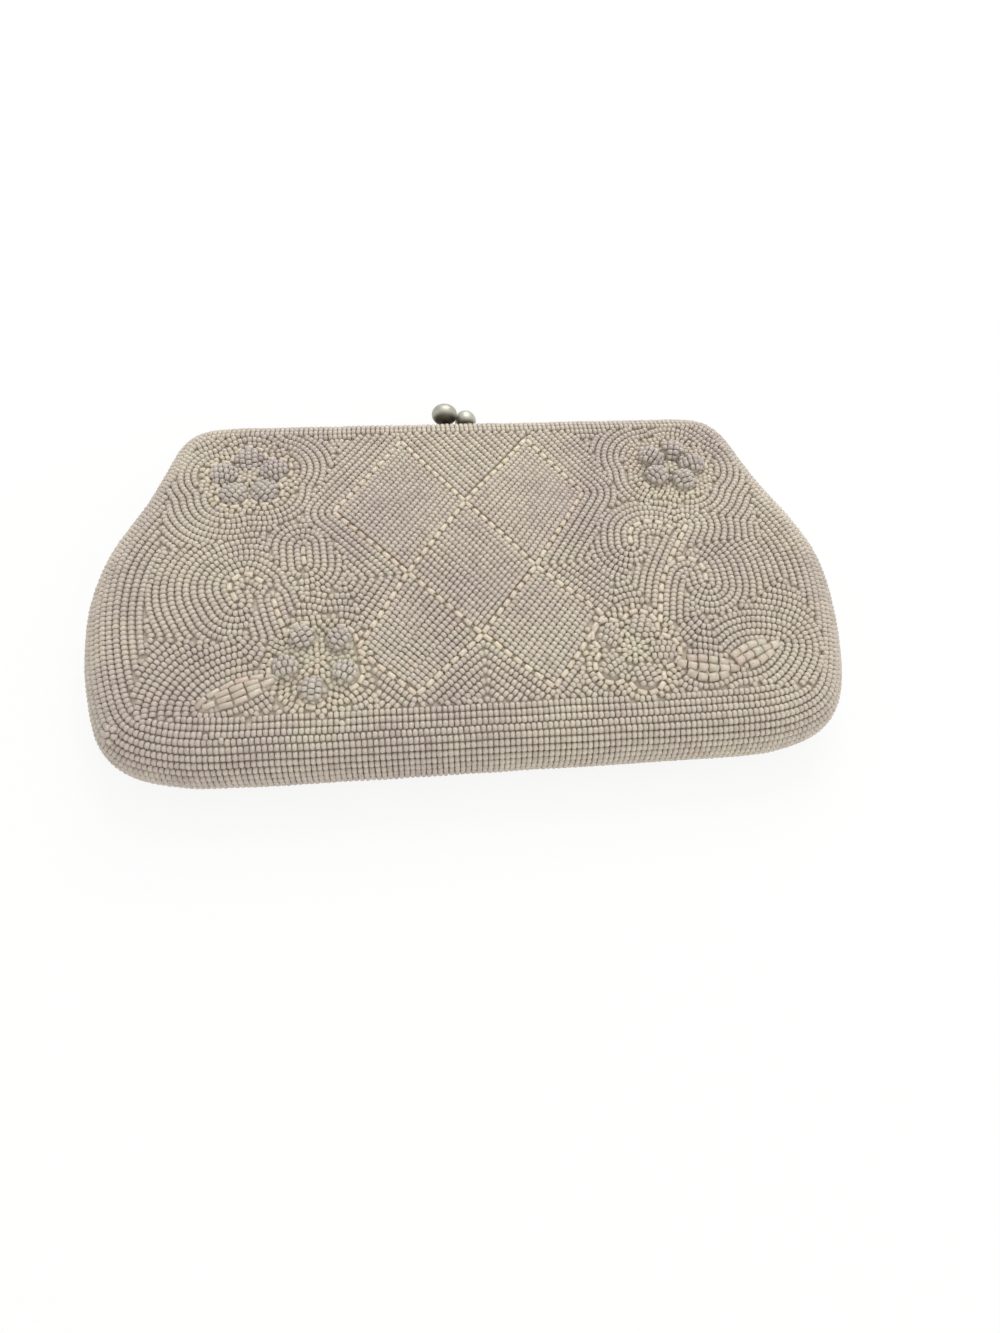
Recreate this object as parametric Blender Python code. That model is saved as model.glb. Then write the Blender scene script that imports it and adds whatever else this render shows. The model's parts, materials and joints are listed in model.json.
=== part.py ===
"""Beaded evening bag: a kiss-lock framed clutch that lies on its back, with the clasp along +Y.

Metres, +Z up. X runs across the bag, Y from its bottom edge to its clasp, and Z through its thickness.
The origin is the bottom centre of the whole bag's box. Front and back meet on a flat closing plane.
The front half of the frame, and the cloth over it, turn about the two hinge rivets.
"""

import math

import bmesh
import bpy
import numpy as np
from mathutils import Matrix, Vector

# Body of the bag
BAG_WIDTH = 0.200
BODY_HEIGHT = 0.1105
CLOSING_HEIGHT = 0.0105
FRONT_BELLY = 0.0122
BELLY_AT_BOTTOM_SHARE = 0.5
FRONT_CROWN_SHARE = 0.22
SIDE_EDGE_RADIUS = 0.0115

# Where the faces rise and fall along the bag: shares of the body height below the top edge
BACK_RISE_SHARES = (0.04, 0.30)
FRONT_RISE_SHARES = (0.03, 0.50)
FRONT_FALL_SHARES = (0.58, 1.0)

# Half outline, from the top centre clockwise: shares of the half width, and of the body height below the top
OUTLINE_SHARES = [
    (0.00, 0.0), (0.30, 0.0), (0.50, 0.0), (0.62, 0.0), (0.73, 0.0), (0.80, 0.035), (0.835, 0.10),
    (0.86, 0.18), (0.895, 0.27), (0.945, 0.365), (0.99, 0.46), (1.01, 0.575), (1.00, 0.69), (0.98, 0.80),
    (0.945, 0.90), (0.88, 0.96), (0.76, 0.995), (0.62, 1.0), (0.45, 1.0), (0.20, 1.0), (0.00, 1.0),
]

# Layers of the walls
BEADED_CLOTH = 0.0030
STIFFENER = 0.0010
LINING = 0.0006
CLEARANCE = 0.0003
CLOSING_GAP = 0.0003

# Frame at the mouth
FRAME_EDGE_RADIUS = 0.0080
FRAME_SEAT_GAP = 0.0004
FRAME_WALL = 0.0009
HINGE_DROP = 0.0360

# Hinge ears and rivets
EAR_RADIUS = 0.0032
EAR_THICKNESS = 0.0009
STRIP_RECESS = 0.0001
RIVET_RADIUS = 0.0010
RIVET_HEAD_RADIUS = 0.0020
RIVET_HEAD_HEIGHT = 0.0006

# Ball clasp
BALL_RADIUS = 0.0033
BALL_GAP = 0.00035
BALL_RISE = 0.0052
BALL_LEAN = 0.0015
NECK_RADIUS = 0.00125
NECK_TIP_RADIUS = 0.0009
NECK_FOOT_HEIGHT = 0.0020
NECK_TIP_DEPTH = 0.0016

# Slip pocket on the back lining
POCKET_WIDTH = 0.082
POCKET_HEIGHT = 0.052
POCKET_BULGE = 0.0012

# Raised flowers and leaves on the front, with their spread as shares of the half width
PETAL_HEIGHT = 0.0020
PETAL_RING_SHARE = 0.073
PETALS = 5
FLOWER_EYE_RADIUS = 0.0024
FLOWER_EYE_HEIGHT = 0.0018
LEAF_LENGTH_SHARE = 0.150
LEAF_WIDTH_SHARE = 0.060
LEAF_HEIGHT = 0.0010
MOUND_BASE = 0.0005

# Places of the flowers and leaves: shares of the half width and of the drop below the top, and the turn
FLOWER_SHARES = {
    "flower_upper_left": (-0.595, 0.213, math.radians(32)),
    "flower_upper_right": (0.601, 0.217, 0),
    "flower_lower_left": (-0.403, 0.757, math.radians(46)),
    "flower_lower_right": (0.391, 0.767, math.radians(54)),
}
LEAF_SHARES = {
    "leaf_left": (-0.591, 0.822, math.radians(18)),
    "leaf_right_inner": (0.585, 0.805, math.radians(-16)),
    "leaf_right_outer": (0.715, 0.776, math.radians(17)),
}

# Mesh fineness
CURVE_STEPS = 8
EDGE_STEPS = 5
MIDDLE_COLUMNS = 6
LEG_ROWS = 4
FOLD_ROWS = 3
FACE_ROWS = 6
STATION_TURN = math.radians(5)
ROUND_SIDES = 18
BALL_RINGS = 10
MOUND_RINGS = 5
FLOWER_SIDES = 30
LEAF_SIDES = 20
SMOOTH_ANGLE = math.radians(40)
CUT_OVERRUN = 0.0010

FRONT = 1
BACK = -1

HALF_WIDTH = BAG_WIDTH / 2
CLASP_REACH = BALL_RISE + BALL_RADIUS
TOP_Y = (BODY_HEIGHT - CLASP_REACH) / 2
BOTTOM_Y = TOP_Y - BODY_HEIGHT
HINGE_Y = TOP_Y - HINGE_DROP
HALF_GAP = CLOSING_GAP / 2
PETAL_RING_RADIUS = PETAL_RING_SHARE * HALF_WIDTH
LEAF_LENGTH = LEAF_LENGTH_SHARE * HALF_WIDTH
LEAF_WIDTH = LEAF_WIDTH_SHARE * HALF_WIDTH
FRAME_RADIUS = FRAME_EDGE_RADIUS - BEADED_CLOTH - FRAME_SEAT_GAP
LINING_DEPTH = BEADED_CLOTH + STIFFENER + 2 * CLEARANCE
LINING_INSET = FRAME_EDGE_RADIUS + RIVET_HEAD_HEIGHT + 2 * CLEARANCE
HINGE_AXIS = Vector((0, HINGE_Y, CLOSING_HEIGHT))


def clear_scene():
    for old in list(bpy.data.objects):
        bpy.data.objects.remove(old, do_unlink=True)


def material(name, colour, roughness, metallic=0.0):
    made = bpy.data.materials.new(name)
    made.use_nodes = True
    shader = made.node_tree.nodes["Principled BSDF"]
    shader.inputs["Base Color"].default_value = (*colour, 1)
    shader.inputs["Roughness"].default_value = roughness
    shader.inputs["Metallic"].default_value = metallic
    return made


def smooth_step(value, start, end):
    share = min(max((value - start) / (end - start), 0), 1)
    return share * share * (3 - 2 * share)


def spline_through_frame(points, steps):
    """A closed uniform cubic B-spline over control points, as an array of points."""
    count = len(points)
    places = []
    for index in range(count):
        a, b, c, d = (points[(index + k - 1) % count] for k in range(4))
        for step in range(steps):
            t = step / steps
            weights = ((1 - t) ** 3, 3 * t**3 - 6 * t * t + 4, 3 * (t + t * t - t**3) + 1, t**3)
            places.append(sum(w * p for w, p in zip(weights, (a, b, c, d))) / 6)
    return np.array(places)


def bag_outline():
    """The closed outline on the closing plane, clockwise from the top centre, at the bag's exact size."""
    right = [np.array(point) for point in OUTLINE_SHARES]
    left = [np.array((-x, drop)) for x, drop in reversed(OUTLINE_SHARES[1:-1])]
    curve = spline_through_frame(right + left, CURVE_STEPS)
    x = curve[:, 0] / curve[:, 0].max() * HALF_WIDTH
    drop = (curve[:, 1] - curve[:, 1].min()) / np.ptp(curve[:, 1])
    return np.stack([x, TOP_Y - drop * BODY_HEIGHT], axis=1)


OUTLINE = bag_outline()


def outward_normals(curve):
    along = np.roll(curve, -1, axis=0) - np.roll(curve, 1, axis=0)
    normals = np.stack([-along[:, 1], along[:, 0]], axis=1)
    return normals / np.linalg.norm(normals, axis=1)[:, None]


OUTLINE_NORMALS = outward_normals(OUTLINE)


def inset_outline(inset):
    return OUTLINE - OUTLINE_NORMALS * inset


def half_width(y, inset):
    """Half the width of the outline, drawn in by inset, at one height on the bag."""
    curve = inset_outline(inset)
    side = curve[(curve[:, 0] > 0)]
    top, bottom = side[:, 1].max(), side[:, 1].min()
    flat = (side[:, 1] < top - CLEARANCE / 10) & (side[:, 1] > bottom + CLEARANCE / 10)
    side = side[flat]
    return float(np.interp(y, side[::-1, 1], side[::-1, 0]))


def distance_inside(x, y):
    """Distance from a point of the closing plane to the outline."""
    start = OUTLINE
    along = np.roll(OUTLINE, -1, axis=0) - start
    to_point = np.array((x, y)) - start
    share = np.clip((to_point * along).sum(axis=1) / (along * along).sum(axis=1), 0, 1)
    return float(np.linalg.norm(to_point - along * share[:, None], axis=1).min())


def edge_radius(y):
    """Round of the bag's edge: small over the frame and full below the hinge."""
    grown = smooth_step(HINGE_Y - y, EAR_RADIUS, HINGE_DROP)
    return FRAME_EDGE_RADIUS + (SIDE_EDGE_RADIUS - FRAME_EDGE_RADIUS) * grown


def thickness(side, x, y):
    """Height of the front, or depth of the back, from the closing plane, away from the rounded edge."""
    drop = (TOP_Y - y) / BODY_HEIGHT
    if side == BACK:
        return FRAME_EDGE_RADIUS + (CLOSING_HEIGHT - FRAME_EDGE_RADIUS) * smooth_step(drop, *BACK_RISE_SHARES)
    fall = (1 - BELLY_AT_BOTTOM_SHARE) * smooth_step(drop, *FRONT_FALL_SHARES)
    bulge = smooth_step(drop, *FRONT_RISE_SHARES) - fall
    crown = 1 - FRONT_CROWN_SHARE * (x / HALF_WIDTH) ** 2
    return FRAME_EDGE_RADIUS + (FRONT_BELLY - FRAME_EDGE_RADIUS) * bulge * crown


FOLD_TOP = HINGE_Y + CLEARANCE
FOLD_BOTTOM = HINGE_Y - thickness(FRONT, 0, HINGE_Y) - PETAL_HEIGHT - CLEARANCE


def edge_round(share):
    return math.sqrt(1 - (1 - min(max(share, 0), 1)) ** 2)


def surface_height(side, x, y, inset, depth):
    """Height above the closing plane of a layer that starts at inset and lies depth under the beads."""
    round_over = edge_radius(y) - depth
    return (thickness(side, x, y) - depth) * edge_round((distance_inside(x, y) - inset) / round_over)


def rows_to_rim(rim_y, inward, round_over):
    """Heights on the bag from a rim inwards, bunched where the edge is steep."""
    return [
        rim_y + inward * round_over * (1 - math.cos(math.pi / 2 * k / EDGE_STEPS))
        for k in range(EDGE_STEPS + 1)
    ]


def spread(start, end, count):
    return [start + (end - start) * k / count for k in range(1, count + 1)]


def all_rows(inset, depth):
    """Rows from the top rim to the bottom rim, with one on each edge of the fold below the hinge."""
    rows = rows_to_rim(TOP_Y - inset, -1, edge_radius(TOP_Y) - depth)
    rows += spread(rows[-1], FOLD_TOP, LEG_ROWS)
    rows += spread(FOLD_TOP, FOLD_BOTTOM, FOLD_ROWS)
    low_rows = rows_to_rim(BOTTOM_Y + inset, 1, edge_radius(BOTTOM_Y) - depth)[::-1]
    return rows + spread(FOLD_BOTTOM, low_rows[0], FACE_ROWS) + low_rows[1:]


def zone_rows(zone, inset, depth):
    """The rows of one zone: whole, upper over the fold, fold, or lower under it."""
    rows = all_rows(inset, depth)
    fold_start = EDGE_STEPS + LEG_ROWS
    fold_end = fold_start + FOLD_ROWS
    if zone == "upper":
        return rows[: fold_start + 1]
    if zone == "fold":
        inside = rows[fold_start : fold_end + 1]
        return [inside[0] - CLEARANCE] + inside[1:-1] + [inside[-1] + CLEARANCE]
    return rows[fold_end:] if zone == "lower" else rows


def row_columns(y, inset, depth):
    """Places across one row, bunched over the rounded edges."""
    reach = half_width(y, inset)
    round_over = edge_radius(y) - depth
    side = [
        reach - round_over * (1 - math.cos(math.pi / 2 * k / EDGE_STEPS)) for k in range(EDGE_STEPS + 1)
    ]
    middle = spread(side[-1], -side[-1], MIDDLE_COLUMNS)
    return side + middle + [-x for x in side[-2::-1]]


def bowl_grid(side, zone, inset, depth):
    """Points of one face of a cloth that closes down to the closing plane at its rim."""
    grid = []
    rows = zone_rows(zone, inset, depth)
    for row, y in enumerate(rows):
        columns = row_columns(y, inset, depth)
        at_top = zone in ("whole", "upper") and row == 0
        at_bottom = zone in ("whole", "lower") and row == len(rows) - 1
        line = []
        for column, x in enumerate(columns):
            at_side = column in (0, len(columns) - 1)
            on_rim = at_top or at_bottom or at_side
            height = 0 if on_rim else surface_height(side, x, y, inset, depth)
            line.append(Vector((x, y, CLOSING_HEIGHT + side * max(height, HALF_GAP))))
        grid.append(line)
    return grid


def solid_between(name, outer, inner, made_of):
    """Closes two matching grids of points into one solid."""
    body = bmesh.new()
    faces_of = [[[body.verts.new(point) for point in line] for line in grid] for grid in (outer, inner)]
    rows, columns = len(outer), len(outer[0])
    for verts in faces_of:
        for r in range(rows - 1):
            for c in range(columns - 1):
                body.faces.new((verts[r][c], verts[r][c + 1], verts[r + 1][c + 1], verts[r + 1][c]))
    loop = [(0, c) for c in range(columns)]
    loop += [(r, columns - 1) for r in range(1, rows)]
    loop += [(rows - 1, c) for c in range(columns - 2, -1, -1)]
    loop += [(r, 0) for r in range(rows - 2, 0, -1)]
    a, b = faces_of
    for (r0, c0), (r1, c1) in zip(loop, loop[1:] + loop[:1]):
        body.faces.new((a[r0][c0], a[r1][c1], b[r1][c1], b[r0][c0]))
    return finish(name, body, made_of)


def finish(name, body, made_of):
    """Turns a closed bmesh into a named object with its own material."""
    bmesh.ops.recalc_face_normals(body, faces=body.faces)
    mesh = bpy.data.meshes.new(name)
    body.to_mesh(mesh)
    body.free()
    mesh.shade_smooth()
    mesh.set_sharp_from_angle(angle=SMOOTH_ANGLE)
    mesh.materials.append(made_of)
    made = bpy.data.objects.new(name, mesh)
    bpy.context.scene.collection.objects.link(made)
    return made


def cloth(name, side, zone, inset, depth, wall, made_of):
    """One wall of cloth, wall thick, whose outer face lies depth under the bag's surface."""
    outer = bowl_grid(side, zone, inset, depth)
    inner = bowl_grid(side, zone, inset + wall, depth + wall)
    return solid_between(name, outer, inner, made_of)


def stiffener(name, side, top, bottom, made_of):
    """A sheet behind the flat of a face, clear of the rounded edge and of the frame."""
    depth = BEADED_CLOTH + CLEARANCE
    between = [y for y in all_rows(0, 0) if bottom + STIFFENER < y < top - STIFFENER]
    grids = []
    for layer in (depth, depth + STIFFENER):
        grid = []
        for y in [top] + between + [bottom]:
            reach = half_width(y, edge_radius(y) + CLEARANCE + STIFFENER)
            line = []
            for x in [reach] + spread(reach, -reach, 2 * MIDDLE_COLUMNS):
                height = thickness(side, x, y) - layer
                line.append(Vector((x, y, CLOSING_HEIGHT + side * height)))
            grid.append(line)
        grids.append(grid)
    return solid_between(name, grids[0], grids[1], made_of)


def slip_pocket(made_of):
    """A shallow patch on the back lining, sewn along three sides and open towards the mouth."""
    base = LINING_DEPTH + LINING + CLEARANCE
    top = (TOP_Y + BOTTOM_Y + POCKET_HEIGHT) / 2
    grids = []
    for layer in (base, base + LINING):
        grid = []
        for down in range(MIDDLE_COLUMNS + 1):
            y = top - POCKET_HEIGHT * down / MIDDLE_COLUMNS
            open_share = math.cos(math.pi / 2 * down / MIDDLE_COLUMNS)
            line = []
            for across in range(2 * MIDDLE_COLUMNS + 1):
                x = POCKET_WIDTH * (across / (2 * MIDDLE_COLUMNS) - 1 / 2)
                bulge = POCKET_BULGE * math.cos(math.pi * x / POCKET_WIDTH) * open_share
                depth = thickness(BACK, x, y) - layer - bulge
                line.append(Vector((x, y, CLOSING_HEIGHT - depth)))
            grid.append(line)
        grids.append(grid)
    return solid_between("slip_pocket", grids[0], grids[1], made_of)


def frame_section(side):
    """Corners of a frame half's channel: a quarter round with a flat base and a mouth towards the bag."""
    inner = FRAME_RADIUS - FRAME_WALL
    base = HALF_GAP + FRAME_WALL
    arcs = []
    for radius, low in ((FRAME_RADIUS, HALF_GAP), (inner, base)):
        start = math.asin(low / radius)
        turns = [start + (math.pi / 2 - start) * k / EDGE_STEPS for k in range(EDGE_STEPS + 1)]
        arcs.append([(radius * math.cos(a), radius * math.sin(a)) for a in turns])
    corners = [(0, HALF_GAP)] + arcs[0] + arcs[1][::-1] + [(0, base)]
    return [(out, side * up) for out, up in corners]


def inset_point(station, inset):
    return OUTLINE[station] - OUTLINE_NORMALS[station] * inset


def frame_path(end_y):
    """Stations of the outline from the left leg's end to the right leg's, closer where it bends."""
    upper = [k for k in range(len(OUTLINE)) if inset_point(k, FRAME_EDGE_RADIUS)[1] > end_y]
    right = [k for k in upper if OUTLINE[k][0] >= 0]
    left = [k for k in upper if OUTLINE[k][0] < 0]
    stations = left + right
    kept = stations[:1]
    for station in stations[1:-1]:
        if OUTLINE_NORMALS[kept[-1]] @ OUTLINE_NORMALS[station] < math.cos(STATION_TURN):
            kept.append(station)
    return kept + stations[-1:]


def loft(name, rings, made_of):
    """A solid through matching rings of points, with flat ends."""
    body = bmesh.new()
    loops = [[body.verts.new(point) for point in ring] for ring in rings]
    count = len(rings[0])
    for a, b in zip(loops, loops[1:]):
        for k in range(count):
            body.faces.new((a[k], a[(k + 1) % count], b[(k + 1) % count], b[k]))
    body.faces.new(loops[0])
    body.faces.new(loops[-1])
    return finish(name, body, made_of)


def plate(name, outline, low_z, high_z, made_of):
    """A flat plate with an outline in X and Y."""
    rings = [[Vector((x, y, z)) for x, y in outline] for z in (low_z, high_z)]
    return loft(name, rings, made_of)


def turned(name, profile, centre, axis, made_of):
    """A solid turned about an axis through centre, from a profile of (radius, place along the axis)."""
    rotation = axis.to_track_quat("Z", "Y").to_matrix()
    body = bmesh.new()
    rings = []
    for radius, along in profile:
        turns = [0.0] if radius == 0 else [2 * math.pi * k / ROUND_SIDES for k in range(ROUND_SIDES)]
        ring = [Vector((radius * math.cos(a), radius * math.sin(a), along)) for a in turns]
        rings.append([body.verts.new(centre + rotation @ point) for point in ring])
    for a, b in zip(rings, rings[1:]):
        for k in range(ROUND_SIDES):
            corners = [a[k % len(a)], a[(k + 1) % len(a)], b[(k + 1) % len(b)], b[k % len(b)]]
            body.faces.new(list(dict.fromkeys(corners)))
    for ring in (rings[0], rings[-1]):
        if len(ring) > 1:
            body.faces.new(ring)
    return finish(name, body, made_of)


def modify(piece, tool, operation):
    change = piece.modifiers.new(tool.name, "BOOLEAN")
    change.operation = operation
    change.object = tool
    tool.hide_render = True
    tool.display_type = "WIRE"


def apply_modifiers(piece):
    """Keeps the evaluated shape as the piece's own mesh and removes its tools."""
    graph = bpy.context.evaluated_depsgraph_get()
    shape = bpy.data.meshes.new_from_object(piece.evaluated_get(graph))
    tools = [change.object for change in piece.modifiers]
    piece.modifiers.clear()
    piece.data = shape
    for tool in tools:
        bpy.data.objects.remove(tool, do_unlink=True)


def room_beside(radius):
    """How far out a disc of this radius round the hinge axis may stand inside the back cloth."""
    cloth_round = FRAME_EDGE_RADIUS - BEADED_CLOTH
    reaches = []
    for k in range(ROUND_SIDES):
        turn = 2 * math.pi * k / ROUND_SIDES
        sag = cloth_round - math.sqrt(cloth_round**2 - (radius * math.sin(turn)) ** 2)
        reaches.append(half_width(HINGE_Y + radius * math.cos(turn), BEADED_CLOTH + CLEARANCE + sag))
    return min(reaches)


def ear_slab(side):
    """Inner and outer faces of a half's hinge ear: the front ear lies inside the back one."""
    head = RIVET_HEAD_HEIGHT + CLEARANCE
    outer = min(room_beside(EAR_RADIUS), room_beside(RIVET_HEAD_RADIUS) - head)
    if side == FRONT:
        outer -= EAR_THICKNESS + CLEARANCE
    return outer - EAR_THICKNESS, outer


def frame_ear(side, hand, stations, made_of):
    """The flat eye on a leg's end that the rivet passes through, with the bent strip that carries it."""
    inner, outer = ear_slab(side)
    name = f"ear_{side}_{hand}"
    centre = Vector((hand * inner, HINGE_Y, CLOSING_HEIGHT))
    axis = Vector((hand, 0, 0))
    disc = turned(name, [(EAR_RADIUS, 0), (EAR_RADIUS, EAR_THICKNESS)], centre, axis, made_of)
    knee = HINGE_Y + EAR_RADIUS + CLEARANCE
    strip_low = HALF_GAP + FRAME_WALL / 2
    strip_high = EAR_RADIUS / 2
    wall_out = math.sqrt(FRAME_RADIUS**2 - strip_high**2) - CLEARANCE
    insets = (FRAME_EDGE_RADIUS - wall_out, FRAME_EDGE_RADIUS - wall_out + EAR_THICKNESS)
    leg = [(inset_point(stations[0], inset) + inset_point(stations[1], inset)) / 2 for inset in insets]
    near, far = hand * (inner + STRIP_RECESS), hand * (outer - STRIP_RECESS)
    outline = [(near, HINGE_Y), (far, HINGE_Y), (far, knee), leg[0], leg[1], (near, knee)]
    heights = (CLOSING_HEIGHT + side * strip_low, CLOSING_HEIGHT + side * strip_high)
    strip = plate(name + "_strip", outline, min(heights), max(heights), made_of)
    hole_radius = RIVET_RADIUS + CLEARANCE
    hole_profile = [(hole_radius, -CUT_OVERRUN), (hole_radius, EAR_THICKNESS + CUT_OVERRUN)]
    hole = turned(name + "_hole", hole_profile, centre, axis, made_of)
    return disc, strip, hole


def frame_half(name, side, made_of):
    """One half of the frame: a round-backed channel over the mouth, with a hinge ear on each leg."""
    stations = frame_path(HINGE_Y + EAR_RADIUS + CLEARANCE)
    rings = []
    for k in stations:
        rings.append([
            Vector((*inset_point(k, FRAME_EDGE_RADIUS - out), CLOSING_HEIGHT + up))
            for out, up in frame_section(side)
        ])
    half = loft(name, rings, made_of)
    for hand, ends in ((-1, stations[:2]), (1, stations[:-3:-1])):
        disc, strip, hole = frame_ear(side, hand, ends, made_of)
        modify(half, strip, "UNION")
        modify(half, disc, "UNION")
        modify(half, hole, "DIFFERENCE")
    apply_modifiers(half)
    return half


def hinge_rivet(name, hand, made_of):
    """A headed pin through both ears of one hinge."""
    inner = ear_slab(FRONT)[0] - CLEARANCE
    outer = ear_slab(BACK)[1] + CLEARANCE
    head = RIVET_HEAD_HEIGHT
    profile = [
        (RIVET_HEAD_RADIUS, inner - head), (RIVET_HEAD_RADIUS, inner), (RIVET_RADIUS, inner),
        (RIVET_RADIUS, outer), (RIVET_HEAD_RADIUS, outer), (RIVET_HEAD_RADIUS, outer + head),
    ]
    centre = Vector((0, HINGE_Y, CLOSING_HEIGHT))
    return turned(name, profile, centre, Vector((hand, 0, 0)), made_of)


def ball_centre(side):
    """The back half's ball stands on the left and leans to the front, and the front's the other way."""
    x = side * (BALL_RADIUS + BALL_GAP / 2)
    return Vector((x, TOP_Y + BALL_RISE, CLOSING_HEIGHT - side * BALL_LEAN))


def neck_route(side):
    """Points from the frame's back, straight out through the cloth, then across into the ball."""
    ball = ball_centre(side)
    foot = ball.copy()
    foot.y = TOP_Y - FRAME_EDGE_RADIUS + FRAME_RADIUS + CLEARANCE
    foot.z = CLOSING_HEIGHT + side * NECK_FOOT_HEIGHT
    mouth = foot.copy()
    mouth.y = TOP_Y + CLEARANCE
    tip = ball.copy()
    tip.y = ball.y - BALL_RADIUS + NECK_TIP_DEPTH
    return foot, mouth, tip


def clasp_neck(name, side, made_of):
    """A bent post, stout at the frame and slim in the ball's socket."""
    foot, mouth, tip = neck_route(side)
    below_tip = tip - Vector((0, NECK_TIP_DEPTH, 0))
    rings = []
    for share in (0, 1 / 2, 1):
        rings.append((foot.lerp(mouth, share), NECK_RADIUS))
    rings.append((mouth.lerp(below_tip, 1 / 2), (NECK_RADIUS + NECK_TIP_RADIUS) / 2))
    rings.append((below_tip, NECK_TIP_RADIUS))
    rings.append((tip, NECK_TIP_RADIUS))
    loops = []
    for centre, radius in rings:
        turns = [2 * math.pi * k / ROUND_SIDES for k in range(ROUND_SIDES)]
        loops.append([centre + radius * Vector((math.cos(a), 0, math.sin(a))) for a in turns])
    return loft(name, loops, made_of)


def clasp_ball(name, side, made_of):
    """A ball with a blind socket for the neck."""
    socket = NECK_TIP_RADIUS + CLEARANCE
    start = math.asin(socket / BALL_RADIUS)
    floor = -BALL_RADIUS + NECK_TIP_DEPTH + CLEARANCE
    profile = [(0, floor), (socket, floor)]
    for k in range(BALL_RINGS + 1):
        angle = start + (math.pi - start) * k / BALL_RINGS
        radius = BALL_RADIUS * math.sin(angle) if k < BALL_RINGS else 0
        profile.append((radius, -BALL_RADIUS * math.cos(angle)))
    return turned(name, profile, ball_centre(side), Vector((0, 1, 0)), made_of)


def cut_neck_slit(panel, side):
    """Opens the cloth's rim where the clasp neck comes out."""
    foot, mouth, _ = neck_route(side)
    reach = NECK_RADIUS + CLEARANCE
    outline = [
        (foot.x - reach, foot.y - BEADED_CLOTH), (foot.x + reach, foot.y - BEADED_CLOTH),
        (foot.x + reach, TOP_Y + CUT_OVERRUN), (foot.x - reach, TOP_Y + CUT_OVERRUN),
    ]
    ends = (CLOSING_HEIGHT - side * CUT_OVERRUN, foot.z + side * reach)
    cutter = plate(panel.name + "_slit", outline, min(ends), max(ends), panel.data.materials[0])
    modify(panel, cutter, "DIFFERENCE")
    apply_modifiers(panel)


def front_seat(x, y, up):
    """A point over the front cloth, up above the place where a raised piece sits."""
    return Vector((x, y, CLOSING_HEIGHT + thickness(FRONT, x, y) + CLEARANCE + up))


def mound(name, spot, sides, reach, height, made_of):
    """A raised piece on the front cloth. Its rim is reach(turn) from its middle, its top height(u, v)."""
    share_x, share_y, angle = spot
    place = Vector((share_x * HALF_WIDTH, TOP_Y - share_y * BODY_HEIGHT))
    body = bmesh.new()
    turns = [2 * math.pi * k / sides for k in range(sides)]

    def point(turn, share, raised):
        u, v = share * reach(turn) * math.cos(turn), share * reach(turn) * math.sin(turn)
        x = place.x + u * math.cos(angle) - v * math.sin(angle)
        y = place.y + u * math.sin(angle) + v * math.cos(angle)
        return front_seat(x, y, MOUND_BASE + height(u, v) if raised else 0)

    loops = []
    shares = [(k / MOUND_RINGS, True) for k in range(1, MOUND_RINGS + 1)] + [(1, False), (1 / 2, False)]
    for share, raised in shares:
        loops.append([body.verts.new(point(turn, share, raised)) for turn in turns])
    for a, b in zip(loops, loops[1:]):
        for k in range(sides):
            n = (k + 1) % sides
            body.faces.new((a[k], a[n], b[n], b[k]))
    for loop, raised in ((loops[0], True), (loops[-1], False)):
        pole = body.verts.new(point(0, 0, raised))
        for k in range(sides):
            body.faces.new((loop[k], loop[(k + 1) % sides], pole))
    return finish(name, body, made_of)


def dome(u, v, half_length, half_width_across, height):
    """Height of a low elliptical dome over a place, and nothing outside it."""
    return height * math.sqrt(max(0, 1 - (u / half_length) ** 2 - (v / half_width_across) ** 2))


def flower(name, made_of):
    """Padded petals round an eye, worked as one piece."""
    petal_radius = PETAL_RING_RADIUS * math.sin(math.pi / PETALS) + CLEARANCE / 2
    petal_turns = [2 * math.pi * k / PETALS for k in range(PETALS)]

    def reach(turn):
        off = abs((turn + math.pi / PETALS) % (2 * math.pi / PETALS) - math.pi / PETALS)
        across = PETAL_RING_RADIUS * math.sin(off)
        return PETAL_RING_RADIUS * math.cos(off) + math.sqrt(max(0, petal_radius**2 - across**2))

    def height(u, v):
        heights = [dome(u, v, FLOWER_EYE_RADIUS, FLOWER_EYE_RADIUS, FLOWER_EYE_HEIGHT)]
        for turn in petal_turns:
            du, dv = u - PETAL_RING_RADIUS * math.cos(turn), v - PETAL_RING_RADIUS * math.sin(turn)
            heights.append(dome(du, dv, petal_radius, petal_radius, PETAL_HEIGHT))
        return max(heights)

    return mound(name, FLOWER_SHARES[name], FLOWER_SIDES, reach, height, made_of)


def leaf(name, made_of):
    """A long low leaf."""
    along, across = LEAF_LENGTH / 2, LEAF_WIDTH / 2

    def reach(turn):
        return along * across / math.hypot(across * math.cos(turn), along * math.sin(turn))

    def height(u, v):
        return dome(u, v, along, across, LEAF_HEIGHT)

    return mound(name, LEAF_SHARES[name], LEAF_SIDES, reach, height, made_of)


def put_on_hinge(pieces):
    """Hangs the moving pieces on an empty at the middle of the hinge axis."""
    axis = bpy.data.objects.new("hinge_axis", None)
    axis.location = HINGE_AXIS
    bpy.context.scene.collection.objects.link(axis)
    for piece in pieces:
        piece.data.transform(Matrix.Translation(-HINGE_AXIS))
        piece.parent = axis


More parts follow.
